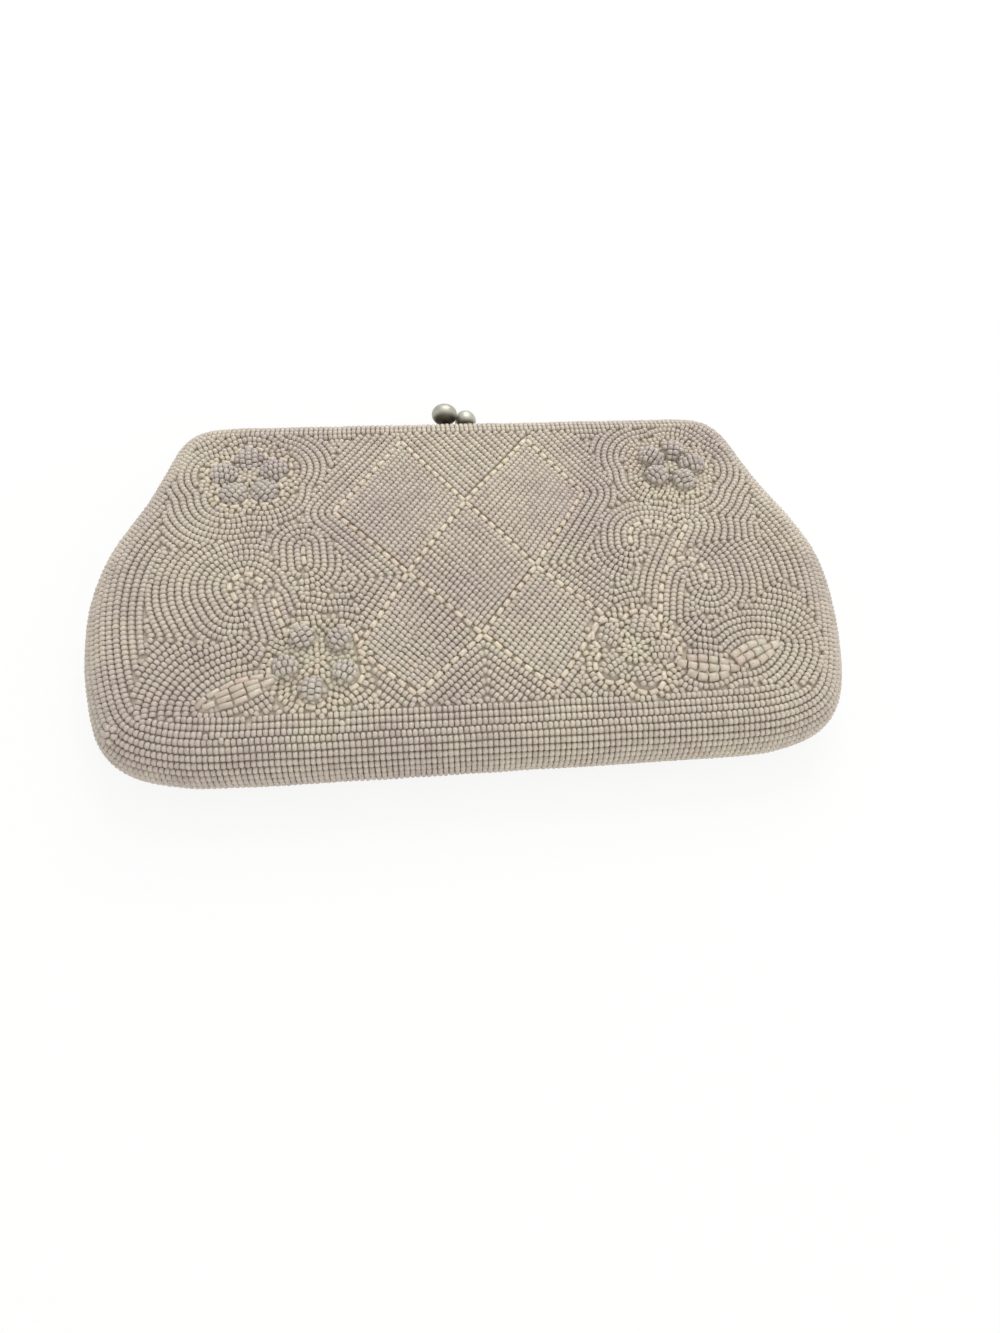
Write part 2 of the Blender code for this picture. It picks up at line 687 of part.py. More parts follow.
def build():
    clear_scene()
    ivory = (0.72, 0.67, 0.60)
    cream = (0.80, 0.72, 0.58)
    satin = (0.80, 0.76, 0.68)
    steel = (0.56, 0.55, 0.52)
    frame_low = TOP_Y - FRAME_EDGE_RADIUS - CLEARANCE - STIFFENER
    face_low = BOTTOM_Y + SIDE_EDGE_RADIUS + CLEARANCE + STIFFENER

    beads = {}
    linings = {}
    zones = [
        ("back_beaded_panel", "back_lining", BACK, "whole"),
        ("front_beaded_panel_upper", "front_lining_upper", FRONT, "upper"),
        ("front_panel_fold", "front_lining_fold", FRONT, "fold"),
        ("front_beaded_panel_lower", "front_lining_lower", FRONT, "lower"),
    ]
    for panel, lining, side, zone in zones:
        beads[panel] = cloth(panel, side, zone, 0, 0, BEADED_CLOTH, material(panel + "_beads", ivory, 0.4))
        linings[lining] = cloth(
            lining, side, zone, LINING_INSET, LINING_DEPTH, LINING, material(lining + "_satin", satin, 0.35)
        )
    cut_neck_slit(beads["back_beaded_panel"], BACK)
    cut_neck_slit(beads["front_beaded_panel_upper"], FRONT)

    stiffener("back_stiffener", BACK, frame_low, face_low, material("back_buckram", satin, 0.9))
    stiffener("front_stiffener_lower", FRONT, FOLD_BOTTOM, face_low, material("buckram_low", satin, 0.9))
    upper_stiffener = stiffener(
        "front_stiffener_upper", FRONT, frame_low, FOLD_TOP, material("buckram_top", satin, 0.9)
    )
    slip_pocket(material("pocket_satin", satin, 0.35))

    frame_half("back_frame", BACK, material("back_frame_steel", steel, 0.35, 1.0))
    front_frame = frame_half("front_frame", FRONT, material("front_frame_steel", steel, 0.35, 1.0))
    for hand, name in ((-1, "hinge_rivet_left"), (1, "hinge_rivet_right")):
        hinge_rivet(name, hand, material(name + "_steel", steel, 0.3, 1.0))

    clasp_neck("back_clasp_neck", BACK, material("back_neck_silver", steel, 0.3, 1.0))
    clasp_ball("back_clasp_ball", BACK, material("back_ball_silver", steel, 0.3, 1.0))
    front_neck = clasp_neck("front_clasp_neck", FRONT, material("front_neck_silver", steel, 0.3, 1.0))
    front_ball = clasp_ball("front_clasp_ball", FRONT, material("front_ball_silver", steel, 0.3, 1.0))

    flowers = {name: flower(name, material(name + "_beads", cream, 0.4)) for name in FLOWER_SHARES}
    for name in LEAF_SHARES:
        leaf(name, material(name + "_beads", cream, 0.4))

    put_on_hinge([
        beads["front_beaded_panel_upper"], linings["front_lining_upper"], upper_stiffener, front_frame,
        front_neck, front_ball, flowers["flower_upper_left"], flowers["flower_upper_right"],
    ])


build()
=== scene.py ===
"""Looks of the beaded evening bag: every seed bead and bugle, the cloths, the satin lining and the metal.

Metres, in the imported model's frame: X across the bag, Y towards the clasp, Z up out of the decorated front.
The beads lie in rows on the same rounded surfaces as the CAD cloths, whose driving sizes are repeated here.
"""

import json
import math
from collections import namedtuple
from itertools import product

import bpy
import numpy as np
from mathutils import Matrix, Vector, noise
from mathutils.kdtree import KDTree


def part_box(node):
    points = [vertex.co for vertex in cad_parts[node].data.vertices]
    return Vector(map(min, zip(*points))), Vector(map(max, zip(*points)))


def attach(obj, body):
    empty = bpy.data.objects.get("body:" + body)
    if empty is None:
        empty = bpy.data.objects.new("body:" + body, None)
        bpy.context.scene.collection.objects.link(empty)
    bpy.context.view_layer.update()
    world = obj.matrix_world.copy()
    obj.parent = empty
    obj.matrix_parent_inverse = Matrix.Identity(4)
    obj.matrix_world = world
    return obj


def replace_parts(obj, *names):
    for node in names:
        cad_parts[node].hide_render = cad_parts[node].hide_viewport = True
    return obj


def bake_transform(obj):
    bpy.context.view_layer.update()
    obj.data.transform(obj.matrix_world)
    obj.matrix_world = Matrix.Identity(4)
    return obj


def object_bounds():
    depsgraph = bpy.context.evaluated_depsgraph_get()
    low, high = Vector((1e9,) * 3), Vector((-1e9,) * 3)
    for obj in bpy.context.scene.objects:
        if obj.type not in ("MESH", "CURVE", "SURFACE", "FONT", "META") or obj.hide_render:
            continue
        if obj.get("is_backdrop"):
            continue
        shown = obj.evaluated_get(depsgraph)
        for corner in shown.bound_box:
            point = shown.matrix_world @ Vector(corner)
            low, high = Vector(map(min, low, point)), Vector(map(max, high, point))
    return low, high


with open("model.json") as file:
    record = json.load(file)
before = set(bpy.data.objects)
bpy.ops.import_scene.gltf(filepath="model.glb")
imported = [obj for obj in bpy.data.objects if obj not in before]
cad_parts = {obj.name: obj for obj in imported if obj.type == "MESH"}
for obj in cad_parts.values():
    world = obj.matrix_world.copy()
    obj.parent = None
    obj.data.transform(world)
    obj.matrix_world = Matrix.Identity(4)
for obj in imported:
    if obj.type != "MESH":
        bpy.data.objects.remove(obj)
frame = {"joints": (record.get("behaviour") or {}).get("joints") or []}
cad_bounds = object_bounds()

# The bag's driving sizes
BODY_LOW, BODY_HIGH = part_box("back_beaded_panel")
HINGE = Vector(frame["joints"][0]["pos_m"])
HALF_WIDTH = BODY_HIGH.x
TOP_Y = BODY_HIGH.y
BOTTOM_Y = BODY_LOW.y
BODY_HEIGHT = TOP_Y - BOTTOM_Y
HINGE_Y = HINGE.y
CLOSING_HEIGHT = HINGE.z
FRONT_BELLY = 0.0122
BELLY_AT_BOTTOM_SHARE = 0.5
FRONT_CROWN_SHARE = 0.22
SIDE_EDGE_RADIUS = 0.0115
FRAME_EDGE_RADIUS = 0.0080
EAR_RADIUS = 0.0032
HINGE_DROP = 0.0360
BACK_RISE_SHARES = (0.04, 0.30)
FRONT_RISE_SHARES = (0.03, 0.50)
FRONT_FALL_SHARES = (0.58, 1.0)
OUTLINE_SHARES = [
    (0.00, 0.0), (0.30, 0.0), (0.50, 0.0), (0.62, 0.0), (0.73, 0.0), (0.80, 0.035), (0.835, 0.10),
    (0.86, 0.18), (0.895, 0.27), (0.945, 0.365), (0.99, 0.46), (1.01, 0.575), (1.00, 0.69), (0.98, 0.80),
    (0.945, 0.90), (0.88, 0.96), (0.76, 0.995), (0.62, 1.0), (0.45, 1.0), (0.20, 1.0), (0.00, 1.0),
]
CLOSING_GAP = 0.0003

# Layers under the beads
CLOTH_DEPTH = 0.0014
CLOTH_WALL = 0.0009
BUCKRAM_DEPTH = 0.0033
BUCKRAM_WALL = 0.0008
BUCKRAM_INSET = 0.0125
LINING_DEPTH = 0.0046
LINING_WALL = 0.0005
LINING_INSET = 0.0092

# Seed beads and bugles
BEAD_RADIUS = 0.00091
BEAD_LENGTH = 0.00133
THREAD_PITCH = 0.00137
ROW_PITCH = 0.00185
DIAMOND_ROW_PITCH = 0.00166
EDGE_ROW_PITCH = 0.00196
EDGE_ROWS = 6
BUGLE_RADIUS = 0.00076
BUGLE_LENGTH = 0.00240
BUGLE_PITCH = 0.00310
BUGLE_BODY_SHARES = (-1 / 3, 0, 1 / 3)
CROWDING_GAP = 0.00122
EMPTY_GAP = 0.00132
BEAD_SIDES = 12
BUGLE_SIDES = 10
BEAD_PROFILE = [
    (-0.6, 0), (-1, 0.42), (-0.84, 0.80), (-0.36, 1), (0.36, 1), (0.84, 0.80), (1, 0.42), (0.6, 0),
]
BUGLE_PROFILE = [(-0.80, 0), (-1, 0.50), (-0.86, 1), (0.86, 1), (1, 0.50), (0.80, 0)]
BEAD_TILT = 0.06
BEAD_SIZE_SPREAD = 0.035
BEADS_IN_PIECE = 1300
MAP_MARGIN = 0.06
ROW_WANDER = 0.00022
ROW_WANDER_UP = ROW_WANDER / 3
ROW_WANDER_REACH = 0.011
ROW_WANDER_SEED = 1
THREAD_RADIUS = 0.00020
THREAD_SIDES = 6

# Vertices of the lattice on the front: shares of the half width and of the body height below the top
LATTICE = {
    "a0": (-0.173, 0.096), "a1": (0.193, 0.099),
    "b0": (-0.365, 0.341), "b1": (-0.005, 0.318), "b2": (0.329, 0.298),
    "c0": (-0.171, 0.535), "c1": (0.166, 0.529),
    "d0": (-0.306, 0.729), "d1": (0.009, 0.707), "d2": (0.328, 0.672),
    "e0": (-0.164, 0.848), "e1": (0.175, 0.849),
}
LATTICE_LINES = ["a0 b0 c0 d0 e0 d1 e1 d2 c1 b2 a1 b1 a0", "b1 c0 d1 c1 b1"]
DIAMONDS = ["b0 a0 b1 c0", "b1 a1 b2 c1", "d0 c0 d1 e0", "d1 c1 d2 e1", "b1 c1 d1 c0"]

# Flowers: place, turn and bugle arc in degrees, and the petals' distance from the eye, radius and height
Flower = namedtuple("Flower", "x drop turn ring radius rise arc")
FLOWER_ROWS = {
    "flower_upper_left": (-0.595, 0.213, 4, 0.0073, 0.0043, 0.0020, 200),
    "flower_upper_right": (0.601, 0.217, -15, 0.0064, 0.0042, 0.0034, 30),
    "flower_lower_left": (-0.403, 0.757, 28, 0.0077, 0.0038, 0.0031, 110),
    "flower_lower_right": (0.391, 0.767, 51, 0.0073, 0.0042, 0.0012, 180),
}
FLOWERS = {name: Flower(*row) for name, row in FLOWER_ROWS.items()}

# Leaves: place, angle in degrees, length, width, bend, rows of bugles, and the length and radius of a bugle
Leaf = namedtuple("Leaf", "x drop angle length width bend rows bugle_length bugle_radius")
LEAF_ROWS = {
    "leaf_left": (-0.590, 0.820, 20, 0.0215, 0.0070, -0.0008, 4, 0.0034, 0.00080),
    "leaf_right_inner": (0.573, 0.818, -8, 0.0165, 0.0084, 0.0012, 3, 0.0025, 0.00118),
    "leaf_right_outer": (0.698, 0.791, 23, 0.0170, 0.0080, -0.0004, 3, 0.0025, 0.00112),
}
LEAVES = {name: Leaf(*row) for name, row in LEAF_ROWS.items()}
STEMS = [
    [(-0.515, 0.588), (-0.493, 0.651), (-0.474, 0.690)],
    [(-0.605, 0.593), (-0.625, 0.545), (-0.584, 0.519), (-0.538, 0.546)],
    [(-0.444, 0.443), (-0.438, 0.500)],
    [(0.602, 0.417), (0.579, 0.451), (0.545, 0.500), (0.503, 0.576), (0.483, 0.640), (0.471, 0.700)],
    [(0.431, 0.475), (0.440, 0.430), (0.481, 0.405), (0.530, 0.410), (0.563, 0.433)],
    [(0.519, 0.545), (0.550, 0.525), (0.584, 0.521), (0.615, 0.545), (0.620, 0.590)],
]

# Knot of beads at the bottom left corner: each ring's radius, the beads that fill it on the flat, its height
KNOT_PLACE = (-0.886, 0.893)
KNOT_RINGS = [(0.00002, 1, 0.0019), (0.0014, 5, 0.0012)]

# Raised beadwork and the rows between the motifs
PETALS = 5
PETAL_BARE_EDGE = 0.0003
PETAL_ROW_PITCH = 0.00172
PETAL_ARC_ROOM = 0.0003
MOUND_BASE = 0.0006
EYE_RING_RADIUS = 0.0016
EYE_BEADS = 6
EYE_GAP = 0.0011
FLOWER_REACH = 0.0135
LEAF_HEIGHT = 0.0010
LEAF_FULLNESS = 0.85
LEAF_POINT = 0.8
LEAF_BUGLE_GAP = 0.0003
LEAF_CROWDING_SHARE = 1.25
LEAF_DEPTH_SHARE = 1.5
BAND_TOP_SHARE = 0.872
TOP_BAND_SHARE = 0.045
OUTLINE_REACH = 1.1
LATTICE_ROOM = 0.00080
LATTICE_MARGIN = 0.00150
MOTIF_ROOM = 0.00155
BACK_BORDER_ROWS = 3
FILL_STEP_SHARE = 0.4
FILL_PITCH = 0.0005
MOUND_RINGS = 18
MOUND_SIDES = 96
MOUND_WALL = 0.0002
LINE_STEPS = 40

# Cloths, pocket and clasp; each flat cut is a width, a height and the share of them that the sheet fills
BOWL_ROWS = 90
BOWL_COLUMNS = 120
CLOTH_CUT = (0.212, 0.123, 0.84)
LINING_CUT = (0.190, 0.098, 0.90)
BOARD_CUT = (0.180, 0.092, 0.94)
LOWER_BOARD_CUT = (0.184, 0.054, 0.94)
UPPER_BOARD_CUT = (0.166, 0.028, 0.88)
POCKET_ROWS = 24
POCKET_COLUMNS = 40
POCKET_BULGE = 0.0012
NECK_RADIUS = 0.00125
NECK_ROOM_SHARE = 0.7
NECK_MEETS_BALL_SHARE = 0.9
NECK_PROFILE = [(0, 1.5), (0.12, 1.5), (0.2, 1.05), (0.7, 0.85), (0.9, 1.1), (1, 1.1)]
BALL_RINGS = 32
BALL_SIDES = 48
BALL_SHIFTS = {"back_clasp": (-0.0008, 0.0004), "front_clasp": (-0.0006, -0.0006)}

# Camera, floor and light, in metres and watts
FOCAL_SHARE = 0.85919
CAMERA_ELEVATION = math.radians(62.03)
CAMERA_YAW = math.radians(12.34)
CAMERA_ROLL = math.radians(8.07)
CAMERA_SHIFT = (-0.00911, -0.02205, 0.2487)
FLOOR_SIZE = 3.0
FLOOR_DROP = 0.0001
FLOOR_SHADE = (240, 239, 237)
FLOOR_ROUGHNESS = 0.9
FLOOR_GLOW = 0.85
AMBIENT = 0.73
WHITE = (1, 1, 1, 1)
WINDOW_PLACE = (0.12, 0.55, 0.62)
WINDOW_SIZE = 0.5
WINDOW_POWER = 3.2
LAMP_PLACE = (0.30, -0.60, 0.70)
LAMP_SIZE = 0.9
LAMP_POWER = 2.6

# Grid and steps on which the lie of the rows is worked out
CELL = 0.0005
OUTLINE_STEPS = 10
PLACES_AT_ONCE = 4000
PROBE = 0.0001
SLIVER = 0.00001
ARC_SAMPLES = 12
ARC_STEPS = 60
CALM_PASSES = 6
RULED_STEPS = 60

FRONT = 1
BACK = -1


# The bag's outline and surfaces


def smooth_step(value, start, end):
    share = np.clip((value - start) / (end - start), 0, 1)
    return share * share * (3 - 2 * share)


def unit(vectors):
    """Rows of vectors, each brought to length 1."""
    return vectors / np.linalg.norm(vectors, axis=1)[:, None]


def closed_spline(points, steps):
    """A closed uniform cubic B-spline over control points, as an array of points."""
    t = np.arange(steps)[:, None] / steps
    weights = ((1 - t) ** 3, 3 * t**3 - 6 * t**2 + 4, 3 * (t + t**2 - t**3) + 1, t**3)
    pieces = []
    for index in range(len(points)):
        corners = [points[(index + k - 1) % len(points)] for k in range(4)]
        pieces.append(sum(w * p for w, p in zip(weights, corners)) / 6)
    return np.concatenate(pieces)


def bag_outline():
    """The closed outline on the closing plane, clockwise from the top centre, at the bag's exact size."""
    right = [np.array(point) for point in OUTLINE_SHARES]
    left = [np.array((-x, drop)) for x, drop in reversed(OUTLINE_SHARES[1:-1])]
    curve = closed_spline(right + left, OUTLINE_STEPS)
    x = curve[:, 0] / curve[:, 0].max() * HALF_WIDTH
    drop = (curve[:, 1] - curve[:, 1].min()) / np.ptp(curve[:, 1])
    return np.stack([x, TOP_Y - drop * BODY_HEIGHT], axis=1)


def outward_normals(curve):
    along = np.roll(curve, -1, axis=0) - np.roll(curve, 1, axis=0)
    return unit(np.stack([-along[:, 1], along[:, 0]], axis=1))


OUTLINE = bag_outline()
OUTLINE_NORMALS = outward_normals(OUTLINE)


def closed(points):
    return np.concatenate([points, points[:1]])


def distance_to(line, places):
    """Distance from each place to a line of points."""
    line = line[np.concatenate([[True], np.linalg.norm(np.diff(line, axis=0), axis=1) > 0])]
    start, along = line[:-1], np.diff(line, axis=0)
    nearest = np.empty(len(places))
    for first in range(0, len(places), PLACES_AT_ONCE):
        to_place = places[first : first + PLACES_AT_ONCE, None] - start
        share = np.clip((to_place * along).sum(axis=2) / (along * along).sum(axis=1), 0, 1)
        offset = to_place - along * share[..., None]
        nearest[first : first + PLACES_AT_ONCE] = np.linalg.norm(offset, axis=2).min(axis=1)
    return nearest


def half_width(y, inset=0.0):
    """Half the width of the outline, drawn in by inset, at some heights on the bag."""
    curve = OUTLINE - OUTLINE_NORMALS * inset
    side = curve[curve[:, 0] > 0]
    top, bottom = side[:, 1].max(), side[:, 1].min()
    side = side[(side[:, 1] < top - SLIVER) & (side[:, 1] > bottom + SLIVER)]
    return np.interp(y, side[::-1, 1], side[::-1, 0])


def inside_depth(places):
    """Distance from each place inward to the outline, below zero outside it."""
    x, y = places[:, 0], places[:, 1]
    inside = (np.abs(x) < half_width(y)) & (y < TOP_Y) & (y > BOTTOM_Y)
    return np.where(inside, 1, -1) * distance_to(closed(OUTLINE), places)


def edge_radius(y):
    """Round of the bag's edge: small over the frame and full below the hinge."""
    grown = smooth_step(HINGE_Y - y, EAR_RADIUS, HINGE_DROP)
    return FRAME_EDGE_RADIUS + (SIDE_EDGE_RADIUS - FRAME_EDGE_RADIUS) * grown


def thickness(side, places):
    """Height of the front, or depth of the back, from the closing plane, away from the rounded edge."""
    x, y = places[:, 0], places[:, 1]
    drop = (TOP_Y - y) / BODY_HEIGHT
    if side == BACK:
        return FRAME_EDGE_RADIUS + (CLOSING_HEIGHT - FRAME_EDGE_RADIUS) * smooth_step(drop, *BACK_RISE_SHARES)
    fall = (1 - BELLY_AT_BOTTOM_SHARE) * smooth_step(drop, *FRONT_FALL_SHARES)
    bulge = smooth_step(drop, *FRONT_RISE_SHARES) - fall
    crown = 1 - FRONT_CROWN_SHARE * (x / HALF_WIDTH) ** 2
    return FRAME_EDGE_RADIUS + (FRONT_BELLY - FRAME_EDGE_RADIUS) * bulge * crown


def surface_z(side, places, inset=0.0, depth=0.0, depths=None):
    """Height over the rest plane of a layer that starts at inset and lies depth under the bag's surface."""
    depths = inside_depth(places) if depths is None else depths
    share = (depths - inset) / (edge_radius(places[:, 1]) - depth)
    rounded = np.sqrt(1 - (1 - np.clip(share, 0, 1)) ** 2)
    height = np.maximum((thickness(side, places) - depth) * rounded, CLOSING_GAP / 2)
    return CLOSING_HEIGHT + side * height


def changes(value_at, places, step):
    """How a value changes from a step before each place to a step after it, along X and along Y."""
    return [value_at(places + by) - value_at(places - by) for by in ((step, 0), (0, step))]


def on_surface(side, places, raise_of=None):
    """Points of the surface over flat places, and the normals there; raise_of lifts them."""

    def height(at):
        lifted = 0 if raise_of is None else raise_of(at)
        return surface_z(side, at, depths=sample(GRID_DEPTHS, at)) + side * lifted

    z = height(places)
    slope_x, slope_y = [change / (2 * PROBE) for change in changes(height, places, PROBE)]
    normals = np.stack([-slope_x, -slope_y, np.ones(len(z))], axis=1) * side
    return np.column_stack([places, z]), unit(normals)


def edge_arc(side, places, depths):
    """Length over the rounded edge from the rim up to each place."""
    radius, rise = edge_radius(places[:, 1]), thickness(side, places)
    turn = np.arccos(np.clip(1 - depths / radius, 0, 1))
    arc = np.zeros(len(places))
    nodes, weights = np.polynomial.legendre.leggauss(ARC_SAMPLES)
    for node, weight in zip(nodes, weights):
        at = turn * (node + 1) / 2
        arc += weight / 2 * turn * np.hypot(radius * np.sin(at), rise * np.cos(at))
    return arc + np.maximum(depths - radius, 0)


def edge_row(side, arc):
    """A closed row that lies arc up the rounded edge: its points, and the normals there."""
    radius = edge_radius(OUTLINE[:, 1])
    rise = thickness(side, OUTLINE - OUTLINE_NORMALS * radius[:, None] / 2)
    turns = np.linspace(0, math.pi / 2, ARC_STEPS)
    turn = np.empty(len(OUTLINE))
    for k, (r, t) in enumerate(zip(radius, rise)):
        lengths = np.hypot(np.diff(r * np.cos(turns)), np.diff(t * np.sin(turns)))
        turn[k] = np.interp(arc, np.concatenate([[0], np.cumsum(lengths)]), turns)
    flat = OUTLINE - OUTLINE_NORMALS * (radius * (1 - np.cos(turn)))[:, None]
    rise = thickness(side, flat)
    points = np.column_stack([flat, CLOSING_HEIGHT + side * rise * np.sin(turn)])
    out = OUTLINE_NORMALS * (np.cos(turn) / radius)[:, None]
    return points, unit(np.column_stack([out, side * np.sin(turn) / rise]))


def from_shares(share):
    return np.array((share[0] * HALF_WIDTH, TOP_Y - share[1] * BODY_HEIGHT))


def around(centre, radius, turns):
    """Places on a circle, at some turns round its centre."""
    return centre + radius * np.stack([np.cos(turns), np.sin(turns)], axis=1)


# Rows of beads


def walk(points, normals, pitch, even=False):
    """Places at one pitch along a line, each with the line's direction and the surface's normal."""
    lengths = np.linalg.norm(np.diff(points, axis=0), axis=1)
    reach = np.concatenate([[0], np.cumsum(lengths)])
    count = int(round(reach[-1] / pitch)) if even else int(reach[-1] / pitch)
    if count < 1:
        return []
    step = reach[-1] / count if even else pitch
    at = (reach[-1] - step * count) / 2 + step * (np.arange(count) + 0.5)

    def on_line(values, where):
        return np.stack([np.interp(where, reach, column) for column in values.T], axis=1)

    centres = on_line(points, at)
    ahead = on_line(points, at + step / 4) - on_line(points, at - step / 4)
    ups = on_line(normals, at)
    return [
        (centre, way / np.linalg.norm(way), up / np.linalg.norm(up))
        for centre, way, up in zip(centres, ahead, ups)
        if np.linalg.norm(way) > 0
    ]


def sunk(beads, radius=BEAD_RADIUS):
    """The same places moved in under the surface by a bead's radius."""
    return [(centre - up * radius, way, up) for centre, way, up in beads]


def row_over(side, line, pitch=THREAD_PITCH, radius=BEAD_RADIUS, raised=None, even=False):
    """A row of beads or bugles over a flat line, sunk into the surface."""
    return sunk(walk(*on_surface(side, line, raised), pitch, even), radius)


class Crowd:
    """The beads placed so far, so that the next ones keep clear of them."""

    def __init__(self):
        self.cells = {}

    def cell(self, point):
        return tuple(int(math.floor(value / EMPTY_GAP)) for value in point)

    def nearest(self, point):
        around_it = product(*[range(index - 1, index + 2) for index in self.cell(point)])
        others = (other for cell in around_it for other in self.cells.get(cell, ()))
        return min((math.dist(point, other) for other in others), default=math.inf)

    def add(self, point):
        self.cells.setdefault(self.cell(point), []).append(tuple(point))

    def empty_places(self, side, places):
        """The flat places over which a bead would be far from all others."""
        tree = KDTree(sum(len(points) for points in self.cells.values()))
        for points in self.cells.values():
            for point in points:
                tree.insert(point, 0)
        tree.balance()
        points, normals = on_surface(side, places)
        centres = points - normals * BEAD_RADIUS
        return places[[tree.find(centre)[2] > EMPTY_GAP for centre in centres]]

    def admit(self, beads, gap=CROWDING_GAP):
        """The beads that keep the gap to all the others, which then count as placed."""
        kept = []
        for bead in beads:
            if self.nearest(bead[0]) >= gap:
                self.add(bead[0])
                kept.append(bead)
        return kept


def grid_places():
    x = np.arange(-HALF_WIDTH, HALF_WIDTH + CELL, CELL)
    y = np.arange(BOTTOM_Y, TOP_Y + CELL, CELL)
    across, up = np.meshgrid(x, y)
    return across.shape, np.column_stack([across.ravel(), up.ravel()])


GRID_SHAPE, GRID_PLACES = grid_places()
GRID_DEPTHS = inside_depth(GRID_PLACES)


def sample(field, places):
    """A field's values between the points of the grid."""
    rows, columns = GRID_SHAPE
    at = (places - (-HALF_WIDTH, BOTTOM_Y)) / CELL
    low = np.clip(np.floor(at).astype(int), 0, (columns - 2, rows - 2))
    share = np.clip(at - low, 0, 1)
    values = field.reshape(GRID_SHAPE)
    i, j = low[:, 1], low[:, 0]
    v, u = share[:, 1], share[:, 0]
    lower = values[i, j] * (1 - u) + values[i, j + 1] * u
    upper = values[i + 1, j] * (1 - u) + values[i + 1, j + 1] * u
    return lower * (1 - v) + upper * v


def crossed_sides(above):
    """The sides of the grid's cells that a contour crosses, each with the ones that it goes on to."""
    corners = above[:-1, :-1].astype(int) + above[:-1, 1:] + above[1:, :-1] + above[1:, 1:]
    links = {}
    for i, j in np.argwhere((corners > 0) & (corners < 4)):
        here, right, up, far = (i, j), (i, j + 1), (i + 1, j), (i + 1, j + 1)
        sides = [(here, right), (here, up), (right, far), (up, far)]
        crossed = [side for side in sides if above[side[0]] != above[side[1]]]
        for a, b in zip(crossed[::2], crossed[1::2]):
            links.setdefault(a, []).append(b)
            links.setdefault(b, []).append(a)
    return links


def contour_lines(field, level):
    """Lines of places along which a field on the grid has one value."""
    values = field.reshape(GRID_SHAPE) - level
    links = crossed_sides(values > 0)

    def place(side):
        (i, j), (m, n) = side
        share = values[i, j] / (values[i, j] - values[m, n])
        return (-HALF_WIDTH + (j + (n - j) * share) * CELL, BOTTOM_Y + (i + (m - i) * share) * CELL)

    ends = [side for side, others in links.items() if len(others) == 1]
    for start in ends + list(links):
        line, here = [start], start
        while here in links:
            others = links.pop(here)
            here = next((side for side in others if side in links), None)
            if here is not None:
                line.append(here)
        if len(line) > 2:
            yield np.array([place(side) for side in line])


def calmed(line):
    """A line with its small kinks smoothed out and its ends kept."""
    line = line.copy()
    for _ in range(CALM_PASSES):
        line[1:-1] = (line[:-2] + 2 * line[1:-1] + line[2:]) / 4
    return line


def runs_where(kept, line):
    """The stretches of a line whose places are kept."""
    breaks = np.flatnonzero(np.diff(kept.astype(int))) + 1
    for stretch, keep in zip(np.split(line, breaks), np.split(kept, breaks)):
        if keep[0] and len(stretch) > 2:
            yield stretch


def contour_rows(side, field, levels, keep):
    """Rows of beads along a field's contours, where keep(places) says so."""
    rows = []
    for level in levels:
        for line in map(calmed, contour_lines(field, level)):
            for stretch in runs_where(keep(line), line):
                rows += row_over(side, stretch)
    return rows


def inside_polygon(places, corners):
    """Whether each place lies in a polygon."""
    inside = np.zeros(len(places), bool)
    for (x0, y0), (x1, y1) in zip(corners, np.roll(corners, -1, axis=0)):
        crosses = (y0 > places[:, 1]) != (y1 > places[:, 1])
        at = x0 + (places[:, 1] - y0) / (y1 - y0 if y1 != y0 else SLIVER) * (x1 - x0)
        inside ^= crosses & (places[:, 0] < at)
    return inside


def ruled_rows(side, first, last, keep, pitch, margin=0.0):
    """Straight rows of beads between the lines first and last, each a pair of places, a margin off both."""
    first, last = np.array(first), np.array(last)
    way = (first[1] - first[0]) / np.linalg.norm(first[1] - first[0])
    apart = abs((last.mean(axis=0) - first.mean(axis=0)) @ np.array((-way[1], way[0])))
    count = int(round((apart - 2 * margin) / pitch)) + 1
    rows = []
    for share in np.linspace(margin / apart, 1 - margin / apart, count):
        ends = first + (last - first) * share
        line = straight(*ends, RULED_STEPS)
        for stretch in runs_where(keep(line), line):
            rows += row_over(side, stretch, even=True)
    return rows


# Motifs of the front


def straight(a, b, steps=LINE_STEPS):
    return a + (b - a) * np.linspace(0, 1, steps)[:, None]


def lattice_corners(names):
    return [from_shares(LATTICE[name]) for name in names.split()]


def lattice_edges():
    for names in LATTICE_LINES:
        corners = lattice_corners(names)
        yield from zip(corners, corners[1:])


LATTICE_EDGES = list(lattice_edges())


def smooth_line(shares):
    """A smooth line through places given in shares."""
    points = [from_shares(share) for share in shares]
    points = [2 * points[0] - points[1]] + points + [2 * points[-1] - points[-2]]
    t = np.linspace(0, 1, LINE_STEPS)[:, None]
    pieces = []
    for a, b, c, d in zip(points, points[1:], points[2:], points[3:]):
        square = a - 2.5 * b + 2 * c - d / 2
        cube = 1.5 * (b - c) + (d - a) / 2
        pieces.append(b + (c - a) * t / 2 + square * t**2 + cube * t**3)
    return np.concatenate(pieces)


def turned(x, y, angle):
    return np.array((x * math.cos(angle) - y * math.sin(angle), x * math.sin(angle) + y * math.cos(angle)))


def petals_of(flower):
    """A flower's eye, and its petals' places and the ways they point."""
    centre = from_shares(flower[:2])
    turn = math.radians(flower.turn)
    angles = [math.pi / 2 + turn + 2 * math.pi * k / PETALS for k in range(PETALS)]
    return centre, [(centre + turned(flower.ring, 0, angle), angle) for angle in angles]


def petal_sphere(flower):
    """Radius of the sphere that a flower's petals are caps of."""
    return (flower.radius**2 + flower.rise**2) / (2 * flower.rise)


